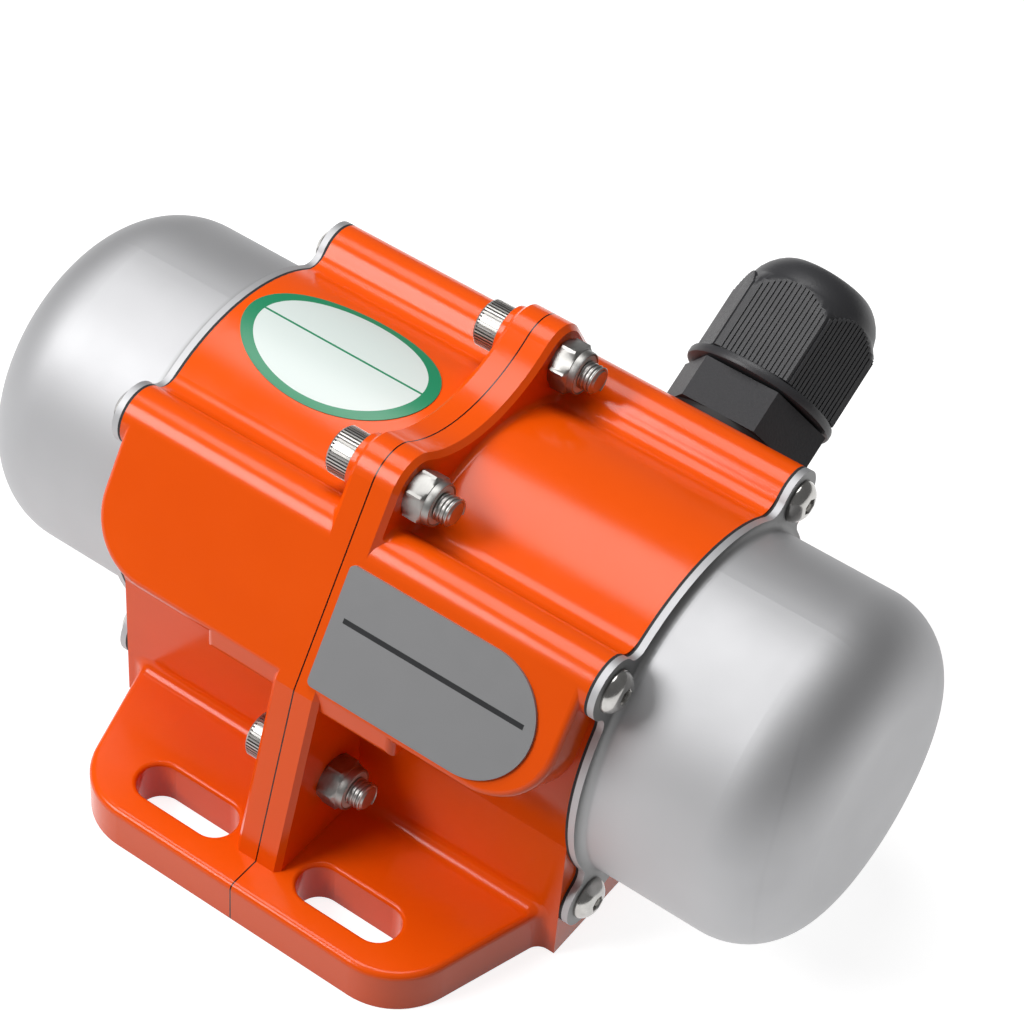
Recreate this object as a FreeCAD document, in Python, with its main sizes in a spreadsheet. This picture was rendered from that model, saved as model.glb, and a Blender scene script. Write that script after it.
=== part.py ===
import FreeCAD, Part
import math
import os
import re
import Sketcher
from FreeCAD import Placement, Rotation, Vector

# A foot-mounted vibration motor. X runs along the shaft, Z is up, and the origin is the centre
# of the four mounting slots on the underside of the foot. The housing parts at x = 0.

SIZES = {
    # Housing barrel and the bosses along it
    "half_length": 46.2,
    "barrel_radius": 33.0,
    "barrel_wall": 5.0,
    "base_depth": 4.0,
    "ear_stand": 3.77,
    "ear_angle": 44.34,
    "ear_radius": 5.4,
    "ear_blend": 4.0,
    "end_wall": 7.0,
    "lip_thickness": 3.5,
    "seat_wall": 4.5,
    # Foot and its slots
    "slot_side": 50.0,
    "slot_reach": 17.2,
    "slot_length": 20.0,
    "slot_width": 8.0,
    "slot_margin": 9.6,
    "slot_edge": 0.8,
    "foot_thickness": 8.7,
    "foot_end_inset": 1.4,
    "foot_taper": 10.6,
    "foot_end_half_width": 26.0,
    "foot_corner": 13.0,
    "foot_edge": 1.2,
    "foot_blend": 2.5,
    # Seam flange and its bolts
    "flange_thickness": 4.6,
    "flange_overhang": 0.9,
    "flange_flare": 9.27,
    "flange_edge": 0.9,
    "flange_root": 1.0,
    "valley_rise": 2.7,
    "upper_bolt_stand": 7.42,
    "upper_bolt_angle": 61.15,
    "lower_bolt_gap": 7.4,
    "lower_bolt_rise": 12.6,
    "spot_radius": 5.2,
    "spot_height": 1.1,
    # Inclined side pads
    "pad_slope": 60.0,
    "pad_width": 24.6,
    "pad_inset": 0.8,
    "pad_corner": 12.0,
    "pad_depth": 14.0,
    "pad_edge": 1.2,
    "lip_reach": 19.0,
    "lip_height": 3.6,
    "lip_edge": 1.4,
    # Nameplate and label
    "plate_thickness": 0.5,
    "plate_start": 1.8,
    "plate_end_gap": 5.1,
    "plate_width": 21.8,
    "plate_corner": 1.0,
    "label_thickness": 0.15,
    "label_width": 27.4,
    "label_gap": 0.3,
    # Screws and nuts of the flange
    "bolt_radius": 2.5,
    "bolt_clearance": 0.25,
    "bolt_head_radius": 4.25,
    "bolt_head_height": 5.0,
    "bolt_head_round": 0.4,
    "bolt_socket": 4.0,
    "bolt_socket_depth": 2.5,
    "bolt_point": 2.8,
    "bolt_chamfer": 0.4,
    "nut_flats": 8.0,
    "nut_height": 5.0,
    "nut_hex_height": 3.7,
    "nut_collar_radius": 3.85,
    "nut_collar_wall": 0.5,
    "nut_collar_round": 0.4,
    "nut_insert_height": 1.0,
    "nut_insert_inset": 0.2,
    # End caps, their gaskets and screws
    "cap_inset": 1.6,
    "cap_wall": 1.2,
    "cap_depth": 35.8,
    "cap_round": 13.6,
    "rim_root": 1.2,
    "rim_blend": 3.0,
    "gasket_thickness": 0.5,
    "cap_screw_radius": 2.0,
    "cap_screw_length": 10.0,
    "cap_screw_head": 3.8,
    "cap_screw_head_height": 2.3,
    "cap_screw_head_round": 2.0,
    "cap_screw_socket": 2.5,
    "cap_screw_socket_depth": 1.4,
    "cap_screw_clearance": 0.2,
    # Cable gland
    "gland_end_gap": 18.2,
    "gland_flats": 24.5,
    "gland_hex_height": 7.8,
    "gland_thread_radius": 9.8,
    "gland_thread_depth": 11.0,
    "gland_neck": 15.0,
    "gland_bore": 7.4,
    "washer_radius": 12.4,
    "washer_thickness": 1.2,
    "gland_nut_gap": 0.5,
    "collar_radius": 14.0,
    "collar_height": 1.8,
    "dome_flats": 25.0,
    "dome_body": 13.4,
    "dome_height": 8.0,
    "dome_bulge": 2.6,
    "mouth_radius": 7.0,
    "mouth_wall": 1.6,
    "mouth_depth": 2.0,
    "cable_radius": 4.5,
    "claw_wall": 1.4,
    "claw_length": 9.0,
    "claw_fit": 0.1,
    "claw_gap": 0.8,
    "claw_count": 12,
    # Stator
    "stator_fit": 0.02,
    "stator_slots": 18,
    "tooth_tip": 1.9,
    "teeth_part": 8.7,
    "rotor_part": 7.5,
    "back_iron": 3.8,
    "slot_gap": 1.6,
    "slot_flare": 1.15,
    "coil_clearance": 0.2,
    "coil_overhang": 9.5,
    "coil_end_gap": 3.0,
    "coil_bore_gap": 1.3,
    "coil_wall_gap": 1.6,
    "coil_round": 3.0,
    # Rotor
    "air_gap": 0.35,
    "core_shaft_radius": 8.0,
    "journal_radius": 6.0,
    "weight_shaft_radius": 5.5,
    "shaft_tail": 3.7,
    "shaft_chamfer": 0.8,
    "cage_bars": 14,
    "cage_bar_radius": 1.6,
    "cage_bar_depth": 3.1,
    "cage_bar_root": 1.0,
    "end_ring_height": 5.0,
    "end_ring_length": 4.5,
    # Bearings and seals
    "bearing_radius": 16.0,
    "bearing_width": 10.0,
    "inner_race_radius": 9.3,
    "outer_race_radius": 12.8,
    "ball_circle": 11.0,
    "ball_radius": 2.95,
    "groove_clearance": 0.05,
    "ball_count": 7,
    "ball_cage_wall": 1.0,
    "ball_cage_width": 7.0,
    "shim_thickness": 1.0,
    "spring_wire": 0.4,
    "spring_waves": 3,
    "seal_radius": 10.0,
    "seal_width": 3.0,
    "seal_case": 1.2,
    "seal_lip": 0.6,
    "running_gap": 0.05,
    # Eccentric weights
    "weight_inset": 2.3,
    "weight_thickness": 10.0,
    "weight_clearance": 2.7,
    "hub_radius": 9.5,
    "weight_gap": 0.4,
    "spacer_thickness": 1.0,
    "spacer_radius": 8.5,
    "circlip_thickness": 1.0,
    "circlip_radius": 8.0,
    "circlip_groove": 5.0,
    "circlip_opening": 3.0,
    "key_width": 3.0,
    "key_height": 3.0,
    "lug_half_width": 8.0,
    "lug_height": 14.0,
    "clamp_slot": 1.5,
    "clamp_screw_radius": 1.5,
    "clamp_screw_height": 10.0,
    "clamp_head_radius": 2.75,
    "clamp_head_height": 3.0,
    "clamp_socket": 2.5,
    "cut_margin": 1.0,
}

# Places that several sub-parts share, worked out from the sheet's own sizes
AXIS_HEIGHT = "(barrel_radius + base_depth)"
CAVITY_RADIUS = "(barrel_radius - barrel_wall)"
CAP_RADIUS = "(barrel_radius - cap_inset)"
EAR_SIDE = "((barrel_radius + ear_stand) * cos(ear_angle))"
EAR_RISE = "((barrel_radius + ear_stand) * sin(ear_angle))"
WALL_SIDE = f"({EAR_SIDE} + ear_radius)"
UPPER_BOLT_SIDE = "((barrel_radius + upper_bolt_stand) * cos(upper_bolt_angle))"
UPPER_BOLT_HEIGHT = f"({AXIS_HEIGHT} + (barrel_radius + upper_bolt_stand) * sin(upper_bolt_angle))"
LOWER_BOLT_SIDE = f"({WALL_SIDE} + lower_bolt_gap)"
LOWER_BOLT_HEIGHT = "(foot_thickness + lower_bolt_rise)"
PAD_TOP_SIDE = f"({EAR_SIDE} + ear_radius * sin(pad_slope))"
PAD_TOP_HEIGHT = f"({AXIS_HEIGHT} + {EAR_RISE} + ear_radius * cos(pad_slope))"
LOBE_RADIUS = (f"(ear_radius + ({EAR_SIDE} - {UPPER_BOLT_SIDE}) * sin(pad_slope)"
               f" + ({AXIS_HEIGHT} + {EAR_RISE} - {UPPER_BOLT_HEIGHT}) * cos(pad_slope))")
PAD_BOTTOM_SIDE = f"({PAD_TOP_SIDE} + (pad_width + flange_overhang) * cos(pad_slope))"
PAD_BOTTOM_HEIGHT = f"({PAD_TOP_HEIGHT} - (pad_width + flange_overhang) * sin(pad_slope))"
FOOT_SIDE = "(slot_side + slot_margin)"
FOOT_END = "(half_length - foot_end_inset)"
FOOT_FRONT = f"({FOOT_END} - foot_taper)"
FLANGE_FOOT_SIDE = f"({PAD_BOTTOM_SIDE} + flange_flare)"
VALLEY_HEIGHT = f"({AXIS_HEIGHT} + barrel_radius + valley_rise)"
PAD_END = "(half_length - pad_inset)"
LABEL_LENGTH = "(half_length - flange_thickness - flange_root - 2 * label_gap)"
PLATE_END = "(half_length - plate_end_gap)"
SEAT_START = "(half_length - lip_thickness - shim_thickness - bearing_width)"
STATOR_LENGTH = f"(2 * ({SEAT_START} - coil_end_gap - coil_overhang - coil_clearance))"
SLOT_TOP = f"({CAVITY_RADIUS} - back_iron)"
# The rotor and the stator's teeth share the room between the shaft and the back iron.
STATOR_BORE = (f"(core_shaft_radius + ({SLOT_TOP} - core_shaft_radius)"
               " * rotor_part / (rotor_part + teeth_part))")
SLOT_ROOT = f"({STATOR_BORE} + tooth_tip)"
COIL_INNER = f"({STATOR_BORE} + coil_bore_gap)"
COIL_OUTER = f"({CAVITY_RADIUS} - coil_wall_gap)"
BAR_CIRCLE = f"({STATOR_BORE} - cage_bar_depth)"
RIM_START = "(half_length + gasket_thickness)"
CAP_END = f"({RIM_START} + cap_depth)"
GLAND_REACH = "(half_length - gland_end_gap)"
GLAND_TOP = "(washer_thickness + gland_hex_height)"
DOME_START = f"({GLAND_TOP} + gland_nut_gap)"
DOME_TOP = f"({DOME_START} + collar_height + dome_body + dome_height)"
WEIGHT_START = "(half_length + weight_inset)"
WEIGHT_RADIUS = f"({CAP_RADIUS} - cap_wall - weight_clearance)"
SPACER_START = f"({WEIGHT_START} + weight_thickness)"
ADJUSTABLE_START = f"({SPACER_START} + spacer_thickness + weight_gap)"
CIRCLIP_START = f"({ADJUSTABLE_START} + weight_thickness + weight_gap)"
SHAFT_END = f"({CIRCLIP_START} + shaft_tail)"
BOLT_END = "(flange_thickness + nut_height + bolt_point)"
EAR_PLACES = [(across, up) for across in (EAR_SIDE, f"-{EAR_SIDE}") for up in (EAR_RISE, f"-{EAR_RISE}")]
BOLT_PLACES = [(UPPER_BOLT_SIDE, UPPER_BOLT_HEIGHT), (f"-{UPPER_BOLT_SIDE}", UPPER_BOLT_HEIGHT),
               (LOWER_BOLT_SIDE, LOWER_BOLT_HEIGHT), (f"-{LOWER_BOLT_SIDE}", LOWER_BOLT_HEIGHT)]
HALVES = (("left", 180), ("right", 0))
WAVE_POINTS = 48
CLOSE = 0.02

doc = FreeCAD.newDocument("VibrationMotor")
sheet = doc.addObject("Spreadsheet::Sheet", "Sizes")
for row, (alias, number) in enumerate(SIZES.items(), start=1):
    sheet.set(f"A{row}", alias)
    sheet.set(f"B{row}", str(number))
    sheet.setAlias(f"B{row}", alias)
doc.recompute()

ALIAS = re.compile(r"\b(" + "|".join(SIZES) + r")\b")
parts = {}


# ---------------------------------------------------------------------------------------------
# Sheet, sketch and feature helpers
# ---------------------------------------------------------------------------------------------

def value(expression):
    """The number that an expression in the sheet's names stands for."""
    return float(sheet.evalExpression(str(expression)))


def bound(expression):
    """The same expression as an object outside the sheet has to write it."""
    return ALIAS.sub(r"Sizes.\1", str(expression))


def new_body(name, turn=0, lift="0"):
    """A body turned about Z and lifted, kept under its own name for the export."""
    body = doc.addObject("PartDesign::Body", name)
    body.Label = name
    body.Placement = Placement(Vector(), Rotation(Vector(0, 0, 1), turn))
    body.setExpression(".Placement.Base.z", bound(lift))
    parts[name] = body
    return body


def origin_feature(body, role):
    return next(item for item in body.Origin.OriginFeatures if item.Role == role)


def new_sketch(body, plane, name, offset="0", lift="0"):
    """A sketch on one of the body's own planes, moved along its normal and up in its plane."""
    drawing = body.newObject("Sketcher::SketchObject", f"{body.Name}_{name}")
    drawing.AttachmentSupport = [(origin_feature(body, plane + "_Plane"), "")]
    drawing.MapMode = "FlatFace"
    drawing.setExpression(".AttachmentOffset.Base.z", bound(offset))
    drawing.setExpression(".AttachmentOffset.Base.y", bound(lift))
    return drawing


def tie(drawing, kind, expression, *where):
    """Adds a constraint whose size stays bound to an expression."""
    number = drawing.addConstraint(Sketcher.Constraint(kind, *where, value(expression)))
    drawing.setExpression(f"Constraints[{number}]", bound(expression))


def tie_point(drawing, geometry, point, across, up):
    tie(drawing, "DistanceX", across, -1, 1, geometry, point)
    tie(drawing, "DistanceY", up, -1, 1, geometry, point)


def outline(drawing, points):
    """A closed line through points given as pairs of expressions."""
    first = drawing.GeometryCount
    corners = [Vector(value(across), value(up), 0) for across, up in points]
    for start, end in zip(corners, corners[1:] + corners[:1]):
        drawing.addGeometry(Part.LineSegment(start, end), False)
    for number, (across, up) in enumerate(points):
        before = first + (number - 1) % len(points)
        drawing.addConstraint(Sketcher.Constraint("Coincident", before, 2, first + number, 1))
        tie_point(drawing, first + number, 1, across, up)


def circle(drawing, across, up, radius):
    centre = Vector(value(across), value(up), 0)
    ring = drawing.addGeometry(Part.Circle(centre, Vector(0, 0, 1), value(radius)), False)
    tie_point(drawing, ring, 3, across, up)
    tie(drawing, "Radius", radius, ring)


def hexagon(drawing, flats):
    corners = [(f"{flats} / sqrt(3) * cos({60 * step})", f"{flats} / sqrt(3) * sin({60 * step})")
               for step in range(6)]
    outline(drawing, corners)


def slot(drawing, across, up, half_run, radius):
    """A slot along the sketch's X: two straight sides and two half circles."""
    x, y, run, r = (value(item) for item in (across, up, half_run, radius))
    normal = Vector(0, 0, 1)
    quarter = math.pi / 2
    near = Part.LineSegment(Vector(x - run, y - r, 0), Vector(x + run, y - r, 0))
    far = Part.LineSegment(Vector(x + run, y + r, 0), Vector(x - run, y + r, 0))
    right = Part.ArcOfCircle(Part.Circle(Vector(x + run, y, 0), normal, r), -quarter, quarter)
    left = Part.ArcOfCircle(Part.Circle(Vector(x - run, y, 0), normal, r), quarter, 3 * quarter)
    first = drawing.GeometryCount
    for piece in (near, right, far, left):
        drawing.addGeometry(piece, False)
    for step in range(4):
        after = first + (step + 1) % 4
        drawing.addConstraint(Sketcher.Constraint("Tangent", first + step, 2, after, 1))
    tie_point(drawing, first + 1, 3, f"{across} + {half_run}", up)
    tie_point(drawing, first + 3, 3, f"{across} - {half_run}", up)
    drawing.addConstraint(Sketcher.Constraint("Equal", first + 1, first + 3))
    tie(drawing, "Radius", radius, first + 1)


def extrude(kind, drawing, length, backwards=False, centred=False):
    body = drawing.getParentGeoFeatureGroup()
    feature = body.newObject("PartDesign::" + kind, f"{drawing.Name}_{kind}")
    feature.Profile = drawing
    feature.setExpression("Length", bound(length))
    feature.Reversed = backwards
    if centred:
        feature.SideType = "Symmetric"
    return feature


def pad(drawing, length, backwards=False, centred=False):
    return extrude("Pad", drawing, length, backwards, centred)


def pocket(drawing, length, backwards=False, centred=False):
    return extrude("Pocket", drawing, length, backwards, centred)


def turn_profile(kind, drawing, axis="H_Axis"):
    body = drawing.getParentGeoFeatureGroup()
    feature = body.newObject("PartDesign::" + kind, f"{drawing.Name}_{kind}")
    feature.Profile = drawing
    feature.ReferenceAxis = (drawing, [axis])
    feature.Angle = 360
    return feature


def revolve(drawing, axis="H_Axis"):
    return turn_profile("Revolution", drawing, axis)


def groove(drawing, axis="H_Axis"):
    return turn_profile("Groove", drawing, axis)


def repeat_round(feature, count, axis="X_Axis"):
    body = feature.getParentGeoFeatureGroup()
    pattern = body.newObject("PartDesign::PolarPattern", feature.Name + "_round")
    pattern.Originals = [feature]
    pattern.Axis = (origin_feature(body, axis), [""])
    pattern.Angle = 360
    pattern.setExpression("Occurrences", bound(count))
    body.Tip = pattern
    return pattern


def round_edges(body, kind, name, size, wanted):
    """Fillets or chamfers the edges of the body that pass a test."""
    doc.recompute()
    base = body.Tip
    edges = [f"Edge{number}" for number, edge in enumerate(base.Shape.Edges, start=1) if wanted(edge)]
    if not edges:
        raise RuntimeError(f"{body.Name}: no edge found for {name}")
    feature = body.newObject("PartDesign::" + kind, f"{body.Name}_{name}")
    feature.Base = (base, edges)
    feature.setExpression("Radius" if kind == "Fillet" else "Size", bound(size))
    return feature


def near(first, second):
    return abs(first - second) < CLOSE


def is_ring(edge, radius, x=None):
    """True for a round edge of this radius about X, in the plane at x."""
    if edge.Curve.TypeId != "Part::GeomCircle" or not near(edge.Curve.Radius, radius):
        return False
    return x is None or near(edge.Curve.Center.x, x)


def runs_along(edge, direction):
    if edge.Curve.TypeId != "Part::GeomLine":
        return False
    return abs(abs(edge.Curve.Direction.dot(direction)) - 1) < 1e-6


def copies(name, master, placements):
    """One node that holds a separate copy of the master solid at each placement."""
    doc.recompute()
    group = doc.addObject("Part::Feature", name)
    group.Label = name
    solids = []
    for placement in placements:
        solid = master.Shape.copy()
        solid.Placement = placement.multiply(solid.Placement)
        solids.append(solid)
    group.Shape = Part.makeCompound(solids)
    parts[name] = group
    return group


def master_body(name):
    """A body that isn't exported: it's copied, or joined to another one."""
    body = new_body(name)
    del parts[name]
    return body


# ---------------------------------------------------------------------------------------------
# Housing
# ---------------------------------------------------------------------------------------------

def make_foot(body):
    drawing = new_sketch(body, "XY", "foot")
    outline(drawing, [
        ("0", f"-{FOOT_SIDE}"), (FOOT_FRONT, f"-{FOOT_SIDE}"),
        (FOOT_END, "-foot_end_half_width"), (FOOT_END, "foot_end_half_width"),
        (FOOT_FRONT, FOOT_SIDE), ("0", FOOT_SIDE)])
    pad(drawing, "foot_thickness")

    def at_front_corner(edge):
        middle = edge.CenterOfMass
        return (runs_along(edge, Vector(0, 0, 1)) and near(middle.x, value(FOOT_FRONT))
                and near(abs(middle.y), value(FOOT_SIDE)))

    def on_top_outside(edge):
        middle = edge.CenterOfMass
        return near(middle.z, value("foot_thickness")) and middle.x > CLOSE

    round_edges(body, "Fillet", "foot_corners", "foot_corner", at_front_corner)
    round_edges(body, "Fillet", "foot_rim", "foot_edge", on_top_outside)


def make_flange(body):
    swing = (f"(({UPPER_BOLT_SIDE} ^ 2 + ({VALLEY_HEIGHT} - {UPPER_BOLT_HEIGHT}) ^ 2 - LOBE ^ 2)"
             f" / (2 * (LOBE - {VALLEY_HEIGHT} + {UPPER_BOLT_HEIGHT})))").replace("LOBE", LOBE_RADIUS)
    centre = f"({VALLEY_HEIGHT} + {swing})"
    reach = f"({swing} + {LOBE_RADIUS})"
    crest_side = f"({UPPER_BOLT_SIDE} * {swing} / {reach})"
    crest_height = f"({UPPER_BOLT_HEIGHT} + ({centre} - {UPPER_BOLT_HEIGHT}) * {LOBE_RADIUS} / {reach})"
    shoulder_side = f"({UPPER_BOLT_SIDE} + {LOBE_RADIUS} * sin(pad_slope))"
    shoulder_height = f"({UPPER_BOLT_HEIGHT} + {LOBE_RADIUS} * cos(pad_slope))"
    side = [(FLANGE_FOOT_SIDE, "0"), (FLANGE_FOOT_SIDE, "foot_thickness"),
            (PAD_BOTTOM_SIDE, PAD_BOTTOM_HEIGHT), (shoulder_side, shoulder_height),
            (crest_side, crest_height)]
    other_side = [(f"-{across}", up) for across, up in reversed(side)]
    drawing = new_sketch(body, "YZ", "flange")
    outline(drawing, side + other_side)
    pad(drawing, "flange_thickness")
    drawing = new_sketch(body, "YZ", "lobes")
    for across in (UPPER_BOLT_SIDE, f"-{UPPER_BOLT_SIDE}"):
        circle(drawing, across, UPPER_BOLT_HEIGHT, LOBE_RADIUS)
    pad(drawing, "flange_thickness")
    drawing = new_sketch(body, "YZ", "valley")
    circle(drawing, "0", centre, swing)
    pocket(drawing, "flange_thickness", backwards=True)

    def on_outer_face(edge):
        middle = edge.CenterOfMass
        return near(middle.x, value("flange_thickness")) and middle.z > value("foot_thickness") + CLOSE

    round_edges(body, "Chamfer", "flange_rim", "flange_edge", on_outer_face)


def make_lips(body):
    for side in ("", "-"):
        drawing = new_sketch(body, "YZ", "near_lip" if side else "far_lip")
        outline(drawing, [
            (f"{side}({PAD_BOTTOM_SIDE} - flange_overhang)", f"{PAD_BOTTOM_HEIGHT} + flange_overhang"),
            (f"{side}({PAD_BOTTOM_SIDE} - flange_overhang)", f"{PAD_BOTTOM_HEIGHT} - lip_height"),
            (f"{side}(barrel_radius - lip_height)", f"{PAD_BOTTOM_HEIGHT} - lip_height"),
            (f"{side}(barrel_radius - lip_height)", f"{PAD_BOTTOM_HEIGHT} + flange_overhang")])
        pad(drawing, "lip_reach")

    def on_free_edge(edge):
        middle = edge.CenterOfMass
        low = near(middle.z, value(f"{PAD_BOTTOM_HEIGHT} - lip_height"))
        outer = near(abs(middle.y), value(f"{PAD_BOTTOM_SIDE} - flange_overhang"))
        at_end = near(middle.x, value("lip_reach"))
        return outer and (low or at_end) and middle.x > value("flange_thickness")

    round_edges(body, "Fillet", "lip_edges", "lip_edge", on_free_edge)


def make_side_pads(body):
    """The inclined pad on each side, square to its face, with one large round corner."""
    for side, turn in (("near", 1), ("far", -1)):
        drawing = new_sketch(body, "XY", side + "_pad")
        tilt = Rotation(Vector(turn, 0, 0), value("pad_slope"))
        drawing.AttachmentOffset = Placement(Vector(), tilt)
        drawing.setExpression(".AttachmentOffset.Rotation.Angle", bound("pad_slope"))
        drawing.setExpression(".AttachmentOffset.Base.y", bound(f"-({turn}) * {PAD_TOP_SIDE}"))
        drawing.setExpression(".AttachmentOffset.Base.z", bound(PAD_TOP_HEIGHT))
        low = f"-({turn}) * pad_width"
        outline(drawing, [("0", "0"), ("0", low), (PAD_END, low), (PAD_END, "0")])
        pad(drawing, "pad_depth", backwards=True)
    corner_side = value(PAD_TOP_SIDE) + value("pad_width * cos(pad_slope)")

    def at_low_end_corner(edge):
        outermost = max(abs(vertex.Y) for vertex in edge.Vertexes)
        return near(edge.CenterOfMass.x, value(PAD_END)) and near(outermost, corner_side) \
            and edge.CenterOfMass.z < value(PAD_BOTTOM_HEIGHT) and near(edge.BoundBox.XLength, 0)

    round_edges(body, "Fillet", "pad_corners", "pad_corner", at_low_end_corner)

    def on_outer_border(edge):
        middle = edge.CenterOfMass
        side, rise = abs(middle.y) - value(PAD_TOP_SIDE), middle.z - value(PAD_TOP_HEIGHT)
        in_plane = near(side * value("sin(pad_slope)") + rise * value("cos(pad_slope)"), 0)
        return in_plane and middle.x > value("flange_thickness") and rise < -CLOSE

    round_edges(body, "Fillet", "pad_borders", "pad_edge", on_outer_border)


def make_barrel(body):
    drawing = new_sketch(body, "YZ", "walls")
    outline(drawing, [(f"-{WALL_SIDE}", "0"), (WALL_SIDE, "0"),
                      (WALL_SIDE, AXIS_HEIGHT), (f"-{WALL_SIDE}", AXIS_HEIGHT)])
    pad(drawing, "half_length")
    drawing = new_sketch(body, "YZ", "barrel")
    circle(drawing, "0", AXIS_HEIGHT, "barrel_radius")
    pad(drawing, "half_length")
    drawing = new_sketch(body, "YZ", "ears")
    for across, up in EAR_PLACES:
        circle(drawing, across, f"{AXIS_HEIGHT} + {up}", "ear_radius")
    pad(drawing, "half_length")

    def in_ear_notch(edge):
        middle = edge.CenterOfMass
        rise = middle.z - value(AXIS_HEIGHT)
        on_barrel = near(math.hypot(middle.y, rise), value("barrel_radius"))
        return runs_along(edge, Vector(1, 0, 0)) and on_barrel and rise > abs(middle.y)

    def at_wall_root(edge):
        middle = edge.CenterOfMass
        at_wall = near(abs(middle.y), value(WALL_SIDE)) and near(middle.z, value("foot_thickness"))
        return runs_along(edge, Vector(1, 0, 0)) and at_wall

    round_edges(body, "Fillet", "ear_valleys", "ear_blend", in_ear_notch)
    round_edges(body, "Fillet", "wall_roots", "foot_blend", at_wall_root)

    def at_flange_root(edge):
        middle = edge.CenterOfMass
        rise = middle.z - value(AXIS_HEIGHT)
        flat = near(edge.BoundBox.XLength, 0)
        in_flange_face = flat and near(edge.BoundBox.XMin, value("flange_thickness"))
        is_crown = abs(middle.y) < CLOSE and edge.Length > value("barrel_radius")
        below_valley = value(EAR_RISE) < rise < value(f"{VALLEY_HEIGHT} - {AXIS_HEIGHT}")
        return in_flange_face and is_crown and below_valley

    round_edges(body, "Fillet", "flange_root", "flange_root", at_flange_root)


def hollow_out(body):
    """The stator bore, the bearing seat in its boss, and the shaft seal's hole, in one groove."""
    drawing = new_sketch(body, "XZ", "cavity", lift=AXIS_HEIGHT)
    outline(drawing, [
        ("0", "0"), ("0", CAVITY_RADIUS),
        ("half_length - end_wall", CAVITY_RADIUS),
        ("half_length - end_wall", "bearing_radius + seat_wall"),
        (SEAT_START, "bearing_radius + seat_wall"), (SEAT_START, "bearing_radius"),
        (f"{SEAT_START} + bearing_width + shim_thickness", "bearing_radius"),
        (f"{SEAT_START} + bearing_width + shim_thickness", "seal_radius"),
        ("half_length", "seal_radius"), ("half_length", "0")])
    groove(drawing)


def drill_housing(body):
    drawing = new_sketch(body, "XY", "slots")
    for across in ("slot_side", "-slot_side"):
        slot(drawing, "slot_reach", across, "(slot_length - slot_width) / 2", "slot_width / 2")
    pocket(drawing, "foot_thickness", backwards=True)

    def around_slot(edge):
        middle = edge.CenterOfMass
        off_centre = abs(abs(middle.y) - value("slot_side"))
        return near(middle.z, value("foot_thickness")) and off_centre < value("slot_width / 2") + CLOSE \
            and abs(middle.x - value("slot_reach")) < value("slot_length / 2") + CLOSE

    round_edges(body, "Fillet", "slot_rims", "slot_edge", around_slot)
    drawing = new_sketch(body, "YZ", "bolt_holes")
    for across, up in BOLT_PLACES:
        circle(drawing, across, up, "bolt_radius + bolt_clearance")
    pocket(drawing, "flange_thickness + spot_height", backwards=True)
    drawing = new_sketch(body, "YZ", "cap_screw_holes", offset="half_length")
    for across, up in EAR_PLACES:
        circle(drawing, across, f"{AXIS_HEIGHT} + {up}", "cap_screw_radius")
    pocket(drawing, "cap_screw_length")


def make_housing(side, turn):
    body = new_body("housing_" + side, turn)
    make_foot(body)
    make_flange(body)
    sides = master_body("pads_and_lips_" + side)
    make_lips(sides)
    make_side_pads(sides)
    body.newObject("PartDesign::Boolean", "joined_" + side).setObjects([sides])
    make_barrel(body)
    if side == "left":
        drawing = new_sketch(body, "YZ", "spot_faces")
        for across, up in BOLT_PLACES:
            circle(drawing, across, up, "spot_radius")
        pad(drawing, "flange_thickness + spot_height")
    hollow_out(body)
    drill_housing(body)
    if side == "right":
        drawing = new_sketch(body, "XY", "gland_hole")
        drawing.AttachmentOffset = Placement(Vector(), Rotation(Vector(-1, 0, 0), value("pad_slope")))
        drawing.setExpression(".AttachmentOffset.Rotation.Angle", bound("pad_slope"))
        drawing.setExpression(".AttachmentOffset.Base.y", bound(PAD_TOP_SIDE))
        drawing.setExpression(".AttachmentOffset.Base.z", bound(PAD_TOP_HEIGHT))
        circle(drawing, GLAND_REACH, "pad_width / 2", "gland_thread_radius")
        pocket(drawing, "pad_depth + seat_wall")
    return body


# ---------------------------------------------------------------------------------------------
# Fasteners of the seam flange
# ---------------------------------------------------------------------------------------------

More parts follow.
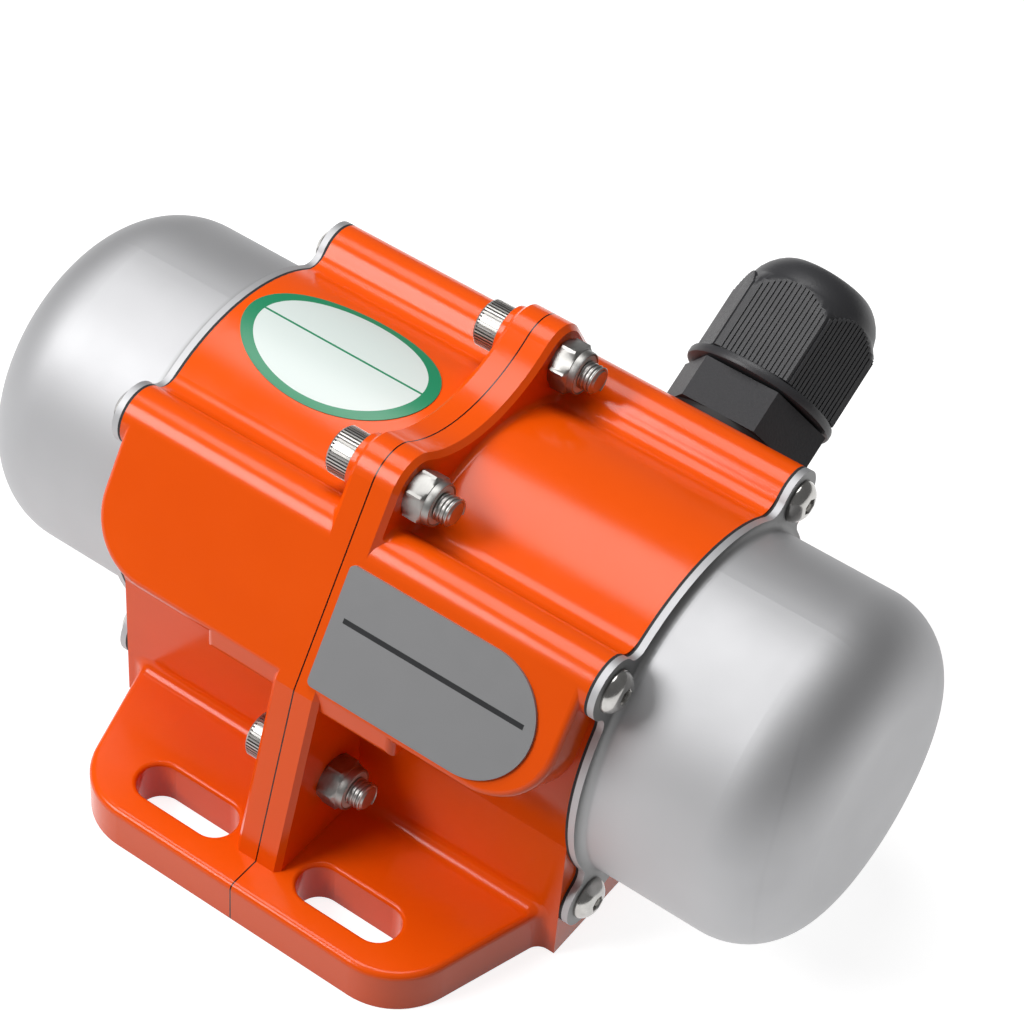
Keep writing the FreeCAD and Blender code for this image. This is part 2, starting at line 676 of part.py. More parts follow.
def make_flange_fasteners():
    """Screws with their heads on the left half, lock nuts and nylon inserts on the right half."""
    master = master_body("flange_screw_master")
    seat = "-(flange_thickness + spot_height)"
    drawing = new_sketch(master, "XZ", "profile")
    outline(drawing, [
        (f"{seat} - bolt_head_height", "0"), (f"{seat} - bolt_head_height", "bolt_head_radius"),
        (seat, "bolt_head_radius"), (seat, "bolt_radius"),
        (BOLT_END, "bolt_radius"), (BOLT_END, "0")])
    revolve(drawing)
    drawing = new_sketch(master, "YZ", "socket", offset=f"{seat} - bolt_head_height")
    hexagon(drawing, "bolt_socket")
    pocket(drawing, "bolt_socket_depth", backwards=True)
    head_end = value(f"{seat} - bolt_head_height")
    round_edges(master, "Fillet", "head_edge", "bolt_head_round",
                lambda edge: is_ring(edge, value("bolt_head_radius"), head_end))
    round_edges(master, "Chamfer", "point", "bolt_chamfer",
                lambda edge: is_ring(edge, value("bolt_radius"), value(BOLT_END)))

    nut = master_body("flange_nut_master")
    drawing = new_sketch(nut, "YZ", "hexagon", offset="flange_thickness")
    hexagon(drawing, "nut_flats")
    pad(drawing, "nut_hex_height")
    drawing = new_sketch(nut, "YZ", "collar", offset="flange_thickness")
    circle(drawing, "0", "0", "nut_collar_radius")
    pad(drawing, "nut_height")
    drawing = new_sketch(nut, "YZ", "thread", offset="flange_thickness")
    circle(drawing, "0", "0", "bolt_radius")
    pocket(drawing, "nut_height", backwards=True)
    drawing = new_sketch(nut, "YZ", "recess", offset="flange_thickness + nut_height")
    circle(drawing, "0", "0", "nut_collar_radius - nut_collar_wall")
    pocket(drawing, "nut_insert_height")
    collar_end = value("flange_thickness + nut_height")
    round_edges(nut, "Fillet", "collar_edge", "nut_collar_round",
                lambda edge: is_ring(edge, value("nut_collar_radius"), collar_end))

    insert = master_body("nut_insert_master")
    drawing = new_sketch(insert, "YZ", "ring", offset="flange_thickness + nut_height - nut_insert_height")
    circle(drawing, "0", "0", "nut_collar_radius - nut_collar_wall")
    circle(drawing, "0", "0", "bolt_radius")
    pad(drawing, "nut_insert_height - nut_insert_inset")

    places = [Placement(Vector(0, value(across), value(up)), Rotation(Vector(1, 0, 0), turn))
              for (across, up), turn in zip(BOLT_PLACES, (20, 35, 50, 10))]
    copies("flange_screws", master, places)
    copies("flange_nuts", nut, places)
    copies("nut_inserts", insert, places)


# ---------------------------------------------------------------------------------------------
# End caps, gaskets and their screws
# ---------------------------------------------------------------------------------------------

def add_ears(body, start, thickness):
    """The four screw ears of a rim or gasket, blended into its round edge."""
    drawing = new_sketch(body, "YZ", "ears", offset=start)
    for across, up in EAR_PLACES:
        circle(drawing, across, up, "ear_radius")
    pad(drawing, thickness)

    def at_notch(edge):
        middle = edge.CenterOfMass
        on_rim = near(math.hypot(middle.y, middle.z), value("barrel_radius"))
        return runs_along(edge, Vector(1, 0, 0)) and on_rim

    round_edges(body, "Fillet", "ear_blends", "rim_blend", at_notch)
    drawing = new_sketch(body, "YZ", "ear_holes", offset=start)
    for across, up in EAR_PLACES:
        circle(drawing, across, up, "cap_screw_radius + cap_screw_clearance")
    pocket(drawing, thickness, backwards=True)


def make_end_cap(side, turn):
    body = new_body("end_cap_" + side, turn, AXIS_HEIGHT)
    drawing = new_sketch(body, "XZ", "rim")
    outline(drawing, [
        (RIM_START, f"{CAP_RADIUS} - cap_wall"), (f"{RIM_START} + cap_wall", f"{CAP_RADIUS} - cap_wall"),
        (f"{RIM_START} + cap_wall", "barrel_radius"), (RIM_START, "barrel_radius")])
    revolve(drawing)
    add_ears(body, RIM_START, "cap_wall")
    drawing = new_sketch(body, "XZ", "cup")
    outline(drawing, [
        (RIM_START, f"{CAP_RADIUS} - cap_wall"), (f"{CAP_END} - cap_wall", f"{CAP_RADIUS} - cap_wall"),
        (f"{CAP_END} - cap_wall", "0"), (CAP_END, "0"), (CAP_END, CAP_RADIUS),
        (RIM_START, CAP_RADIUS)])
    revolve(drawing)
    round_edges(body, "Fillet", "end_round", "cap_round",
                lambda edge: is_ring(edge, value(CAP_RADIUS), value(CAP_END)))
    round_edges(body, "Fillet", "rim_root", "rim_root",
                lambda edge: is_ring(edge, value(CAP_RADIUS), value(f"{RIM_START} + cap_wall")))
    round_edges(body, "Fillet", "end_round_inside", "cap_round - cap_wall",
                lambda edge: is_ring(edge, value(f"{CAP_RADIUS} - cap_wall"),
                                     value(f"{CAP_END} - cap_wall")))


def make_gasket(side, turn):
    body = new_body("cap_gasket_" + side, turn, AXIS_HEIGHT)
    drawing = new_sketch(body, "YZ", "ring", offset="half_length")
    circle(drawing, "0", "0", "barrel_radius")
    circle(drawing, "0", "0", f"{CAP_RADIUS} - cap_wall")
    pad(drawing, "gasket_thickness")
    add_ears(body, "half_length", "gasket_thickness")


def make_cap_screws(side, turn):
    master = master_body("cap_screw_master_" + side)
    seat = f"({RIM_START} + cap_wall)"
    drawing = new_sketch(master, "XZ", "profile")
    outline(drawing, [
        (f"{seat} - cap_screw_length", "0"), (f"{seat} - cap_screw_length", "cap_screw_radius"),
        (seat, "cap_screw_radius"), (seat, "cap_screw_head"),
        (f"{seat} + cap_screw_head_height", "cap_screw_head"),
        (f"{seat} + cap_screw_head_height", "0")])
    revolve(drawing)
    head_end = value(f"{seat} + cap_screw_head_height")
    round_edges(master, "Fillet", "dome", "cap_screw_head_round",
                lambda edge: is_ring(edge, value("cap_screw_head"), head_end))
    drawing = new_sketch(master, "YZ", "socket", offset=f"{seat} + cap_screw_head_height")
    hexagon(drawing, "cap_screw_socket")
    pocket(drawing, "cap_screw_socket_depth")
    turned = Rotation(Vector(0, 0, 1), turn)
    places = [turned.multVec(Vector(0, value(across), value(f"{AXIS_HEIGHT} + {up}")))
              for across, up in EAR_PLACES]
    copies("cap_screws_" + side, master, [Placement(place, turned) for place in places])


# ---------------------------------------------------------------------------------------------
# Nameplate and inspection label, both bare
# ---------------------------------------------------------------------------------------------

def make_nameplate():
    """A plate on the near right pad: square at the seam, a half circle at the other end."""
    body = new_body("nameplate")
    body.Placement = Placement(Vector(), Rotation(Vector(1, 0, 0), value("pad_slope")))
    body.setExpression(".Placement.Rotation.Angle", bound("pad_slope"))
    body.setExpression(".Placement.Base.y", bound(f"-{PAD_TOP_SIDE}"))
    body.setExpression(".Placement.Base.z", bound(PAD_TOP_HEIGHT))
    middle = "-(pad_width / 2)"
    round_centre = f"({PLATE_END} - plate_width / 2)"
    drawing = new_sketch(body, "XY", "square_end")
    outline(drawing, [
        ("plate_start", f"{middle} - plate_width / 2"), (round_centre, f"{middle} - plate_width / 2"),
        (round_centre, f"{middle} + plate_width / 2"), ("plate_start", f"{middle} + plate_width / 2")])
    pad(drawing, "plate_thickness")
    drawing = new_sketch(body, "XY", "round_end")
    circle(drawing, round_centre, middle, "plate_width / 2")
    pad(drawing, "plate_thickness")

    def at_square_end(edge):
        return runs_along(edge, Vector(0, 0, 1)) and near(edge.CenterOfMass.x, value("plate_start"))

    round_edges(body, "Fillet", "corners", "plate_corner", at_square_end)


def make_label():
    """An oval sheet that follows the top of the left barrel."""
    outer = doc.addObject("Part::Cylinder", "label_outside")
    inner = doc.addObject("Part::Cylinder", "label_inside")
    for tube, radius in ((outer, "barrel_radius + label_thickness"), (inner, "barrel_radius")):
        tube.Placement = Placement(Vector(), Rotation(Vector(0, 1, 0), -90))
        tube.setExpression("Radius", bound(radius))
        tube.setExpression("Height", bound("half_length"))
        tube.setExpression(".Placement.Base.z", bound(AXIS_HEIGHT))
    sheet_ring = doc.addObject("Part::Cut", "label_ring")
    sheet_ring.Base = outer
    sheet_ring.Tool = inner
    oval = doc.addObject("Part::Ellipse", "label_oval")
    oval.setExpression("MajorRadius", bound(f"{LABEL_LENGTH} / 2"))
    oval.setExpression("MinorRadius", bound("label_width / 2"))
    oval.setExpression(".Placement.Base.x", bound(f"{LABEL_LENGTH} / 2 + label_gap - half_length"))
    oval.setExpression(".Placement.Base.z", bound(AXIS_HEIGHT))
    prism = doc.addObject("Part::Extrusion", "label_prism")
    prism.Base = oval
    prism.DirMode = "Custom"
    prism.Dir = Vector(0, 0, 1)
    prism.Solid = True
    prism.setExpression("LengthFwd", bound("barrel_radius * 2"))
    label = doc.addObject("Part::Common", "inspection_label")
    label.Label = "inspection_label"
    label.Base = sheet_ring
    label.Tool = prism
    parts["inspection_label"] = label


# ---------------------------------------------------------------------------------------------
# Cable gland, square to the far right pad
# ---------------------------------------------------------------------------------------------

def gland_part(name):
    """A body whose Z axis is the gland's own axis, leaving the pad."""
    body = new_body(name)
    body.Placement = Placement(Vector(), Rotation(Vector(-1, 0, 0), value("pad_slope")))
    body.setExpression(".Placement.Rotation.Angle", bound("pad_slope"))
    body.setExpression(".Placement.Base.x", bound(GLAND_REACH))
    body.setExpression(".Placement.Base.y", bound(f"{PAD_TOP_SIDE} + pad_width / 2 * cos(pad_slope)"))
    body.setExpression(".Placement.Base.z", bound(f"{PAD_TOP_HEIGHT} - pad_width / 2 * sin(pad_slope)"))
    return body


def ring_about_z(body, name, points):
    drawing = new_sketch(body, "XZ", name)
    outline(drawing, points)
    return revolve(drawing, "V_Axis")


def make_gland():
    thread = "gland_thread_radius"
    neck_end = f"({GLAND_TOP} + gland_neck)"
    body = gland_part("gland_body")
    ring_about_z(body, "barrel", [
        ("gland_bore", "-gland_thread_depth"), (f"{thread} - running_gap", "-gland_thread_depth"),
        (f"{thread} - running_gap", neck_end), ("gland_bore", neck_end)])
    drawing = new_sketch(body, "XY", "hexagon", offset="washer_thickness")
    hexagon(drawing, "gland_flats")
    circle(drawing, "0", "0", "gland_bore")
    pad(drawing, "gland_hex_height")

    body = gland_part("gland_washer")
    ring_about_z(body, "ring", [
        (thread, "0"), ("washer_radius", "0"), ("washer_radius", "washer_thickness"),
        (thread, "washer_thickness")])

    body = gland_part("gland_nut")
    skirt = f"({DOME_START} + collar_height)"
    shoulder = f"({skirt} + dome_body)"
    drawing = new_sketch(body, "XY", "collar", offset=DOME_START)
    circle(drawing, "0", "0", "collar_radius")
    pad(drawing, "collar_height")
    drawing = new_sketch(body, "XY", "flats", offset=DOME_START)
    hexagon(drawing, "dome_flats")
    pad(drawing, "collar_height + dome_body")
    bulge = "((dome_flats / 2 + mouth_radius + mouth_wall + dome_bulge) / 2)"
    ring_about_z(body, "dome", [
        ("0", shoulder), ("dome_flats / 2", shoulder), (bulge, f"{shoulder} + dome_height / 2"),
        ("mouth_radius + mouth_wall", DOME_TOP), ("0", DOME_TOP)])
    drawing = new_sketch(body, "XZ", "thread_and_mouth")
    outline(drawing, [
        ("0", DOME_START), (f"{thread} + running_gap", DOME_START),
        (f"{thread} + running_gap", f"{neck_end} + gland_nut_gap"),
        ("mouth_radius", f"{DOME_TOP} - mouth_depth"), ("mouth_radius", DOME_TOP), ("0", DOME_TOP)])
    groove(drawing, "V_Axis")

    outside = "(gland_bore - claw_fit)"
    inside = f"({outside} - claw_wall)"
    body = gland_part("gland_claw")
    ring_about_z(body, "ring", [
        (inside, f"{neck_end} - claw_length"), (outside, f"{neck_end} - claw_length"),
        (outside, neck_end), (inside, neck_end)])
    drawing = new_sketch(body, "XY", "gap", offset=f"{neck_end} - claw_length / 2")
    outline(drawing, [("gland_bore / 2", "-claw_gap / 2"), ("gland_bore", "-claw_gap / 2"),
                      ("gland_bore", "claw_gap / 2"), ("gland_bore / 2", "claw_gap / 2")])
    cut = pocket(drawing, "claw_length / 2", backwards=True)
    repeat_round(cut, "claw_count", "Z_Axis")

    body = gland_part("gland_seal")
    ring_about_z(body, "ring", [
        ("cable_radius", f"{neck_end} - claw_length"), (inside, f"{neck_end} - claw_length"),
        (inside, neck_end), ("cable_radius", neck_end)])


# ---------------------------------------------------------------------------------------------
# Stator
# ---------------------------------------------------------------------------------------------

def slot_shape(drawing, clearance, bottom):
    """A stator slot that widens outwards; the winding in it is smaller by the clearance."""
    root = f"({SLOT_ROOT} + {clearance})"
    top = f"({SLOT_TOP} - {clearance})"
    tooth = f"(pi * {SLOT_ROOT} / stator_slots / 2)"
    half_root = f"({tooth} - {clearance})"
    half_top = f"({tooth} * {SLOT_TOP} / {SLOT_ROOT} * slot_flare - {clearance})"
    points = [(f"-{half_root}", root), (f"-{half_top}", top), (half_top, top), (half_root, root)]
    if bottom:
        points += [("slot_gap / 2", root), ("slot_gap / 2", bottom), ("-slot_gap / 2", bottom),
                   ("-slot_gap / 2", root)]
    outline(drawing, points)


def make_stator():
    body = new_body("stator_core", lift=AXIS_HEIGHT)
    drawing = new_sketch(body, "YZ", "ring")
    circle(drawing, "0", "0", f"{CAVITY_RADIUS} - stator_fit")
    circle(drawing, "0", "0", STATOR_BORE)
    pad(drawing, STATOR_LENGTH, centred=True)
    drawing = new_sketch(body, "YZ", "slot")
    slot_shape(drawing, "0", f"{STATOR_BORE} - cut_margin")
    cut = pocket(drawing, STATOR_LENGTH, centred=True)
    repeat_round(cut, "stator_slots")

    body = new_body("stator_windings", lift=AXIS_HEIGHT)
    coil_start = f"({STATOR_LENGTH} / 2 + coil_clearance)"
    coil_end = f"({coil_start} + coil_overhang)"
    for sign, name in (("", "right"), ("-", "left")):
        drawing = new_sketch(body, "XZ", name + "_end_turns")
        outline(drawing, [(f"{sign}{coil_start}", COIL_INNER), (f"{sign}{coil_end}", COIL_INNER),
                          (f"{sign}{coil_end}", COIL_OUTER), (f"{sign}{coil_start}", COIL_OUTER)])
        revolve(drawing)
        if sign == "":
            drawing = new_sketch(body, "YZ", "slot_fill", offset=f"{STATOR_LENGTH} / 2 + 2 * coil_clearance")
            slot_shape(drawing, "coil_clearance", "")
            fill = pad(drawing, f"{STATOR_LENGTH} + 4 * coil_clearance", backwards=True)
            repeat_round(fill, "stator_slots")
    round_edges(body, "Fillet", "end_turns", "coil_round",
                lambda edge: edge.Curve.TypeId == "Part::GeomCircle"
                and near(abs(edge.Curve.Center.x), value(coil_end)))


# ---------------------------------------------------------------------------------------------
# Rotor
# ---------------------------------------------------------------------------------------------

def make_rotor():
    body = new_body("rotor_shaft", lift=AXIS_HEIGHT)
    half = [
        (SEAT_START, "core_shaft_radius"), (SEAT_START, "journal_radius"),
        (WEIGHT_START, "journal_radius"), (WEIGHT_START, "weight_shaft_radius"),
        (CIRCLIP_START, "weight_shaft_radius"), (CIRCLIP_START, "circlip_groove"),
        (f"{CIRCLIP_START} + circlip_thickness + running_gap", "circlip_groove"),
        (f"{CIRCLIP_START} + circlip_thickness + running_gap", "weight_shaft_radius"),
        (SHAFT_END, "weight_shaft_radius"), (SHAFT_END, "0")]
    other_half = [(f"-({along})", radius) for along, radius in reversed(half)]
    drawing = new_sketch(body, "XZ", "profile")
    outline(drawing, half + other_half)
    revolve(drawing)
    for sign, name, backwards in (("", "right", False), ("-", "left", True)):
        drawing = new_sketch(body, "XY", name + "_keyway", offset="-weight_shaft_radius")
        outline(drawing, [
            (f"{sign}{WEIGHT_START}", "-key_width / 2"), (f"{sign}{SPACER_START}", "-key_width / 2"),
            (f"{sign}{SPACER_START}", "key_width / 2"), (f"{sign}{WEIGHT_START}", "key_width / 2")])
        pocket(drawing, "key_height / 2", backwards=True)
    round_edges(body, "Chamfer", "ends", "shaft_chamfer",
                lambda edge: is_ring(edge, value("weight_shaft_radius"))
                and near(abs(edge.Curve.Center.x), value(SHAFT_END)))

    body = new_body("rotor_core", lift=AXIS_HEIGHT)
    drawing = new_sketch(body, "YZ", "ring")
    circle(drawing, "0", "0", f"{STATOR_BORE} - air_gap")
    circle(drawing, "0", "0", "core_shaft_radius")
    pad(drawing, STATOR_LENGTH, centred=True)
    drawing = new_sketch(body, "YZ", "bar_hole")
    circle(drawing, "0", BAR_CIRCLE, "cage_bar_radius")
    cut = pocket(drawing, STATOR_LENGTH, centred=True)
    repeat_round(cut, "cage_bars")

    body = new_body("rotor_cage", lift=AXIS_HEIGHT)
    outside = f"({STATOR_BORE} - 2 * air_gap)"
    inside = f"({outside} - end_ring_height)"
    for sign, name in (("", "right"), ("-", "left")):
        drawing = new_sketch(body, "XZ", name + "_end_ring")
        outline(drawing, [
            (f"{sign}({STATOR_LENGTH} / 2)", inside),
            (f"{sign}({STATOR_LENGTH} / 2 + end_ring_length)", inside),
            (f"{sign}({STATOR_LENGTH} / 2 + end_ring_length)", outside),
            (f"{sign}({STATOR_LENGTH} / 2)", outside)])
        revolve(drawing)
        if sign == "":
            drawing = new_sketch(body, "YZ", "bar", offset=f"{STATOR_LENGTH} / 2 + cage_bar_root")
            circle(drawing, "0", BAR_CIRCLE, "cage_bar_radius - stator_fit")
            bar = pad(drawing, f"{STATOR_LENGTH} + 2 * cage_bar_root", backwards=True)
            repeat_round(bar, "cage_bars")


# ---------------------------------------------------------------------------------------------
# Bearings, their axial spring and shim, and the shaft seals
# ---------------------------------------------------------------------------------------------

def make_race(name, turn, inner, outer):
    """One bearing ring: a square section with the ball groove turned into it."""
    body = new_body(name, turn, AXIS_HEIGHT)
    end = f"({SEAT_START} + bearing_width)"
    drawing = new_sketch(body, "XZ", "section")
    outline(drawing, [(SEAT_START, inner), (end, inner), (end, outer), (SEAT_START, outer)])
    revolve(drawing)
    drawing = new_sketch(body, "XZ", "ball_groove")
    circle(drawing, f"{SEAT_START} + bearing_width / 2", "ball_circle", "ball_radius + groove_clearance")
    groove(drawing)


def make_bearing(side, turn):
    make_race("bearing_outer_" + side, turn, "outer_race_radius", "bearing_radius - stator_fit")
    make_race("bearing_inner_" + side, turn, "journal_radius", "inner_race_radius")
    middle = f"({SEAT_START} + bearing_width / 2)"
    body = new_body("bearing_cage_" + side, turn, AXIS_HEIGHT)
    drawing = new_sketch(body, "XZ", "band")
    inner = "(ball_circle - ball_cage_wall / 2)"
    outer = "(ball_circle + ball_cage_wall / 2)"
    start = f"({middle} - ball_cage_width / 2)"
    end = f"({middle} + ball_cage_width / 2)"
    outline(drawing, [(start, inner), (end, inner), (end, outer), (start, outer)])
    revolve(drawing)
    drawing = new_sketch(body, "XY", "ball_window", offset="inner_race_radius")
    circle(drawing, middle, "0", "ball_radius + groove_clearance")
    cut = pocket(drawing, "ball_circle", backwards=True)
    repeat_round(cut, "ball_count")

    ball = doc.addObject("Part::Sphere", "ball_master_" + side)
    ball.setExpression("Radius", bound("ball_radius"))
    flip = Placement(Vector(0, 0, value(AXIS_HEIGHT)), Rotation(Vector(0, 0, 1), turn))
    places = []
    for number in range(round(value("ball_count"))):
        spin = Rotation(Vector(1, 0, 0), 360 / value("ball_count") * number)
        seat = spin.multVec(Vector(0, 0, value("ball_circle"))) + Vector(value(middle), 0, 0)
        places.append(flip.multiply(Placement(seat, Rotation())))
    copies("bearing_balls_" + side, ball, places)


def make_axial_rings():
    """A flat shim behind the left bearing and a wave spring behind the right one."""
    start = f"({SEAT_START} + bearing_width)"
    body = new_body("bearing_shim", 180, AXIS_HEIGHT)
    drawing = new_sketch(body, "YZ", "ring", offset=start)
    circle(drawing, "0", "0", "bearing_radius - stator_fit")
    circle(drawing, "0", "0", "outer_race_radius")
    pad(drawing, "shim_thickness")

    wave = doc.addObject("Part::Feature", "wave_spring")
    wave.Label = "wave_spring"
    radii = [value("outer_race_radius + spring_wire"), value("bearing_radius - spring_wire")]
    rails = []
    for radius in radii:
        points = []
        for step in range(WAVE_POINTS):
            angle = 2 * math.pi * step / WAVE_POINTS
            along = value("shim_thickness - spring_wire") / 2 * (1 + math.cos(value("spring_waves") * angle))
            points.append(Vector(along, radius * math.cos(angle), radius * math.sin(angle)))
        curve = Part.BSplineCurve()
        curve.interpolate(points, PeriodicFlag=True)
        rails.append(curve.toShape())
    face = Part.makeRuledSurface(rails[0], rails[1])
    wave.Shape = face.extrude(Vector(value("spring_wire"), 0, 0))
    wave.Placement = Placement(Vector(value(start), 0, value(AXIS_HEIGHT)), Rotation())
    parts["wave_spring"] = wave


def make_seal(side, turn):
    body = new_body("shaft_seal_" + side, turn, AXIS_HEIGHT)
    end = "(half_length - running_gap)"
    start = f"({end} - seal_width)"
    bore = "(journal_radius + running_gap)"
    drawing = new_sketch(body, "XZ", "section")
    outline(drawing, [
        (start, "seal_radius - stator_fit"), (end, "seal_radius - stator_fit"),
        (end, "seal_radius - seal_case"), (f"{start} + seal_lip", "seal_radius - seal_case"),
        (f"{start} + seal_lip", f"{bore} + seal_case"),
        (f"{end} - seal_lip", f"{bore} + seal_lip"), (f"{end} - seal_lip", bore), (start, bore)])
    revolve(drawing)


# ---------------------------------------------------------------------------------------------
# Eccentric weights at the shaft's ends
# ---------------------------------------------------------------------------------------------

def half_disc(body, start):
    """A half disc that hangs below the shaft, with a round hub."""
    drawing = new_sketch(body, "YZ", "disc", offset=start)
    circle(drawing, "0", "0", WEIGHT_RADIUS)
    pad(drawing, "weight_thickness")
    beyond = f"({WEIGHT_RADIUS} + cut_margin)"
    drawing = new_sketch(body, "YZ", "open_half", offset=start)
    outline(drawing, [("-" + beyond, "0"), (beyond, "0"), (beyond, beyond), ("-" + beyond, beyond)])
    pocket(drawing, "weight_thickness", backwards=True)
    drawing = new_sketch(body, "YZ", "hub", offset=start)
    circle(drawing, "0", "0", "hub_radius")
    pad(drawing, "weight_thickness")


def bore_weight(body, start, clearance):
    drawing = new_sketch(body, "YZ", "bore", offset=start)
    circle(drawing, "0", "0", f"weight_shaft_radius + {clearance}")
    pocket(drawing, "weight_thickness", backwards=True)


def make_weights(side, turn):
    body = new_body("fixed_weight_" + side, turn, AXIS_HEIGHT)
    half_disc(body, WEIGHT_START)
    bore_weight(body, WEIGHT_START, "stator_fit")
    drawing = new_sketch(body, "YZ", "keyway", offset=WEIGHT_START)
    outline(drawing, [("-key_width / 2", "-weight_shaft_radius - key_height / 2"),
                      ("key_width / 2", "-weight_shaft_radius - key_height / 2"),
                      ("key_width / 2", "0"), ("-key_width / 2", "0")])
    pocket(drawing, "weight_thickness", backwards=True)

    body = new_body("weight_key_" + side, turn, AXIS_HEIGHT)
    drawing = new_sketch(body, "YZ", "section", offset=f"{WEIGHT_START} + running_gap")
    outline(drawing, [
        ("stator_fit - key_width / 2", "stator_fit - weight_shaft_radius - key_height / 2"),
        ("key_width / 2 - stator_fit", "stator_fit - weight_shaft_radius - key_height / 2"),
        ("key_width / 2 - stator_fit", "key_height / 2 - weight_shaft_radius - stator_fit"),
        ("stator_fit - key_width / 2", "key_height / 2 - weight_shaft_radius - stator_fit")])
    pad(drawing, "weight_thickness - 2 * running_gap")

    body = new_body("weight_spacer_" + side, turn, AXIS_HEIGHT)
    drawing = new_sketch(body, "YZ", "ring", offset=SPACER_START)
    circle(drawing, "0", "0", "spacer_radius")
    circle(drawing, "0", "0", "weight_shaft_radius + stator_fit")
    pad(drawing, "spacer_thickness")

    body = new_body("circlip_" + side, turn, AXIS_HEIGHT)
    clip_start = f"({CIRCLIP_START} + running_gap / 2)"
    drawing = new_sketch(body, "YZ", "ring", offset=clip_start)
    circle(drawing, "0", "0", "circlip_radius")
    circle(drawing, "0", "0", "circlip_groove + stator_fit")
    pad(drawing, "circlip_thickness")
    beyond = "circlip_radius + cut_margin"
    drawing = new_sketch(body, "YZ", "opening", offset=clip_start)
    outline(drawing, [("-circlip_opening / 2", "0"), ("circlip_opening / 2", "0"),
                      ("circlip_opening / 2", beyond), ("-circlip_opening / 2", beyond)])
    pocket(drawing, "circlip_thickness", backwards=True)

    make_adjustable_weight(side, turn)


def make_adjustable_weight(side, turn):
    """A half disc with a slit lug that its screw clamps onto the shaft."""
    body = new_body("adjustable_weight_" + side, turn, AXIS_HEIGHT)
    half_disc(body, ADJUSTABLE_START)
    drawing = new_sketch(body, "YZ", "lug", offset=ADJUSTABLE_START)
    outline(drawing, [("-lug_half_width", "0"), ("lug_half_width", "0"),
                      ("lug_half_width", "lug_height"), ("-lug_half_width", "lug_height")])
    pad(drawing, "weight_thickness")
    bore_weight(body, ADJUSTABLE_START, "running_gap")
    drawing = new_sketch(body, "YZ", "slit", offset=ADJUSTABLE_START)
    beyond = "lug_height + cut_margin"
    outline(drawing, [("-clamp_slot / 2", "0"), ("clamp_slot / 2", "0"),
                      ("clamp_slot / 2", beyond), ("-clamp_slot / 2", beyond)])
    pocket(drawing, "weight_thickness", backwards=True)
    screw_place = f"({ADJUSTABLE_START} + weight_thickness / 2)"
    drawing = new_sketch(body, "XZ", "screw_hole", offset="-lug_half_width - cut_margin")
    circle(drawing, screw_place, "clamp_screw_height", "clamp_screw_radius + stator_fit")
    pocket(drawing, "2 * (lug_half_width + cut_margin)", backwards=True)

    body = new_body("clamp_screw_" + side, turn, AXIS_HEIGHT)
    drawing = new_sketch(body, "XZ", "shank", offset="cut_margin - lug_half_width")
    circle(drawing, screw_place, "clamp_screw_height", "clamp_screw_radius")
    pad(drawing, "2 * lug_half_width - cut_margin")
    drawing = new_sketch(body, "XZ", "head", offset="lug_half_width")
    circle(drawing, screw_place, "clamp_screw_height", "clamp_head_radius")
    pad(drawing, "clamp_head_height")
    drawing = new_sketch(body, "XZ", "socket", offset="lug_half_width + clamp_head_height")
    circle(drawing, screw_place, "clamp_screw_height", "clamp_socket / 2")
    pocket(drawing, "clamp_head_height / 2")


for side, turn in HALVES:
    make_housing(side, turn)
    make_end_cap(side, turn)
    make_gasket(side, turn)
    make_cap_screws(side, turn)
    make_bearing(side, turn)
    make_seal(side, turn)
    make_weights(side, turn)
make_flange_fasteners()
make_nameplate()
make_label()
make_gland()
make_stator()
make_rotor()
make_axial_rings()

doc.recompute()
for item in doc.Objects:
    if "Invalid" in item.State or "Error" in item.State:
        raise RuntimeError(f"{item.Label} failed: {item.State}")
os.makedirs("parts", exist_ok=True)
for name, part in parts.items():
    if part.Shape.isNull() or not part.Shape.isValid():
        raise RuntimeError(f"{name} has no valid shape")
    part.Shape.exportStep(f"parts/{name}.step")
    print(f"{name}: {len(part.Shape.Solids)} solid(s), {part.Shape.Volume:.1f} mm3")
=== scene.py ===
import math

import bmesh
import bpy
from mathutils import Matrix, Vector


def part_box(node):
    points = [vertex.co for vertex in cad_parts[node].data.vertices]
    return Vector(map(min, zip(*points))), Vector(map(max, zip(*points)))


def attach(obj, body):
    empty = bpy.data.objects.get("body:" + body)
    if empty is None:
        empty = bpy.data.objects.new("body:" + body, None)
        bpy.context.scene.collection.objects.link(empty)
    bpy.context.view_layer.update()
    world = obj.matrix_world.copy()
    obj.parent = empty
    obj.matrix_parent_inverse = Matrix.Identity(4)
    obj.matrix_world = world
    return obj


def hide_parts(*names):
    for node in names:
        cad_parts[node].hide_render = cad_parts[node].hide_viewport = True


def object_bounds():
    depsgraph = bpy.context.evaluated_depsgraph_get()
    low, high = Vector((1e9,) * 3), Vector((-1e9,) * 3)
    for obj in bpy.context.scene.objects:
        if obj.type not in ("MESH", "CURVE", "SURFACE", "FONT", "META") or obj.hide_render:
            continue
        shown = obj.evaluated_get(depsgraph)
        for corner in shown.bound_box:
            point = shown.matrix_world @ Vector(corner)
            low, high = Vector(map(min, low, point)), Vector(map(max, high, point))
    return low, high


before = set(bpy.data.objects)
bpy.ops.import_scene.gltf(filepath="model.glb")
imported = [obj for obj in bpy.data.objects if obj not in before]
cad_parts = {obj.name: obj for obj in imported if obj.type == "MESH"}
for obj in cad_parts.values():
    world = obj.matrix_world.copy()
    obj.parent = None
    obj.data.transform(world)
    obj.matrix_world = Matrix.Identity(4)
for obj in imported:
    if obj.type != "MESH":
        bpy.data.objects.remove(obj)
cad_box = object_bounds()
MM = 0.001

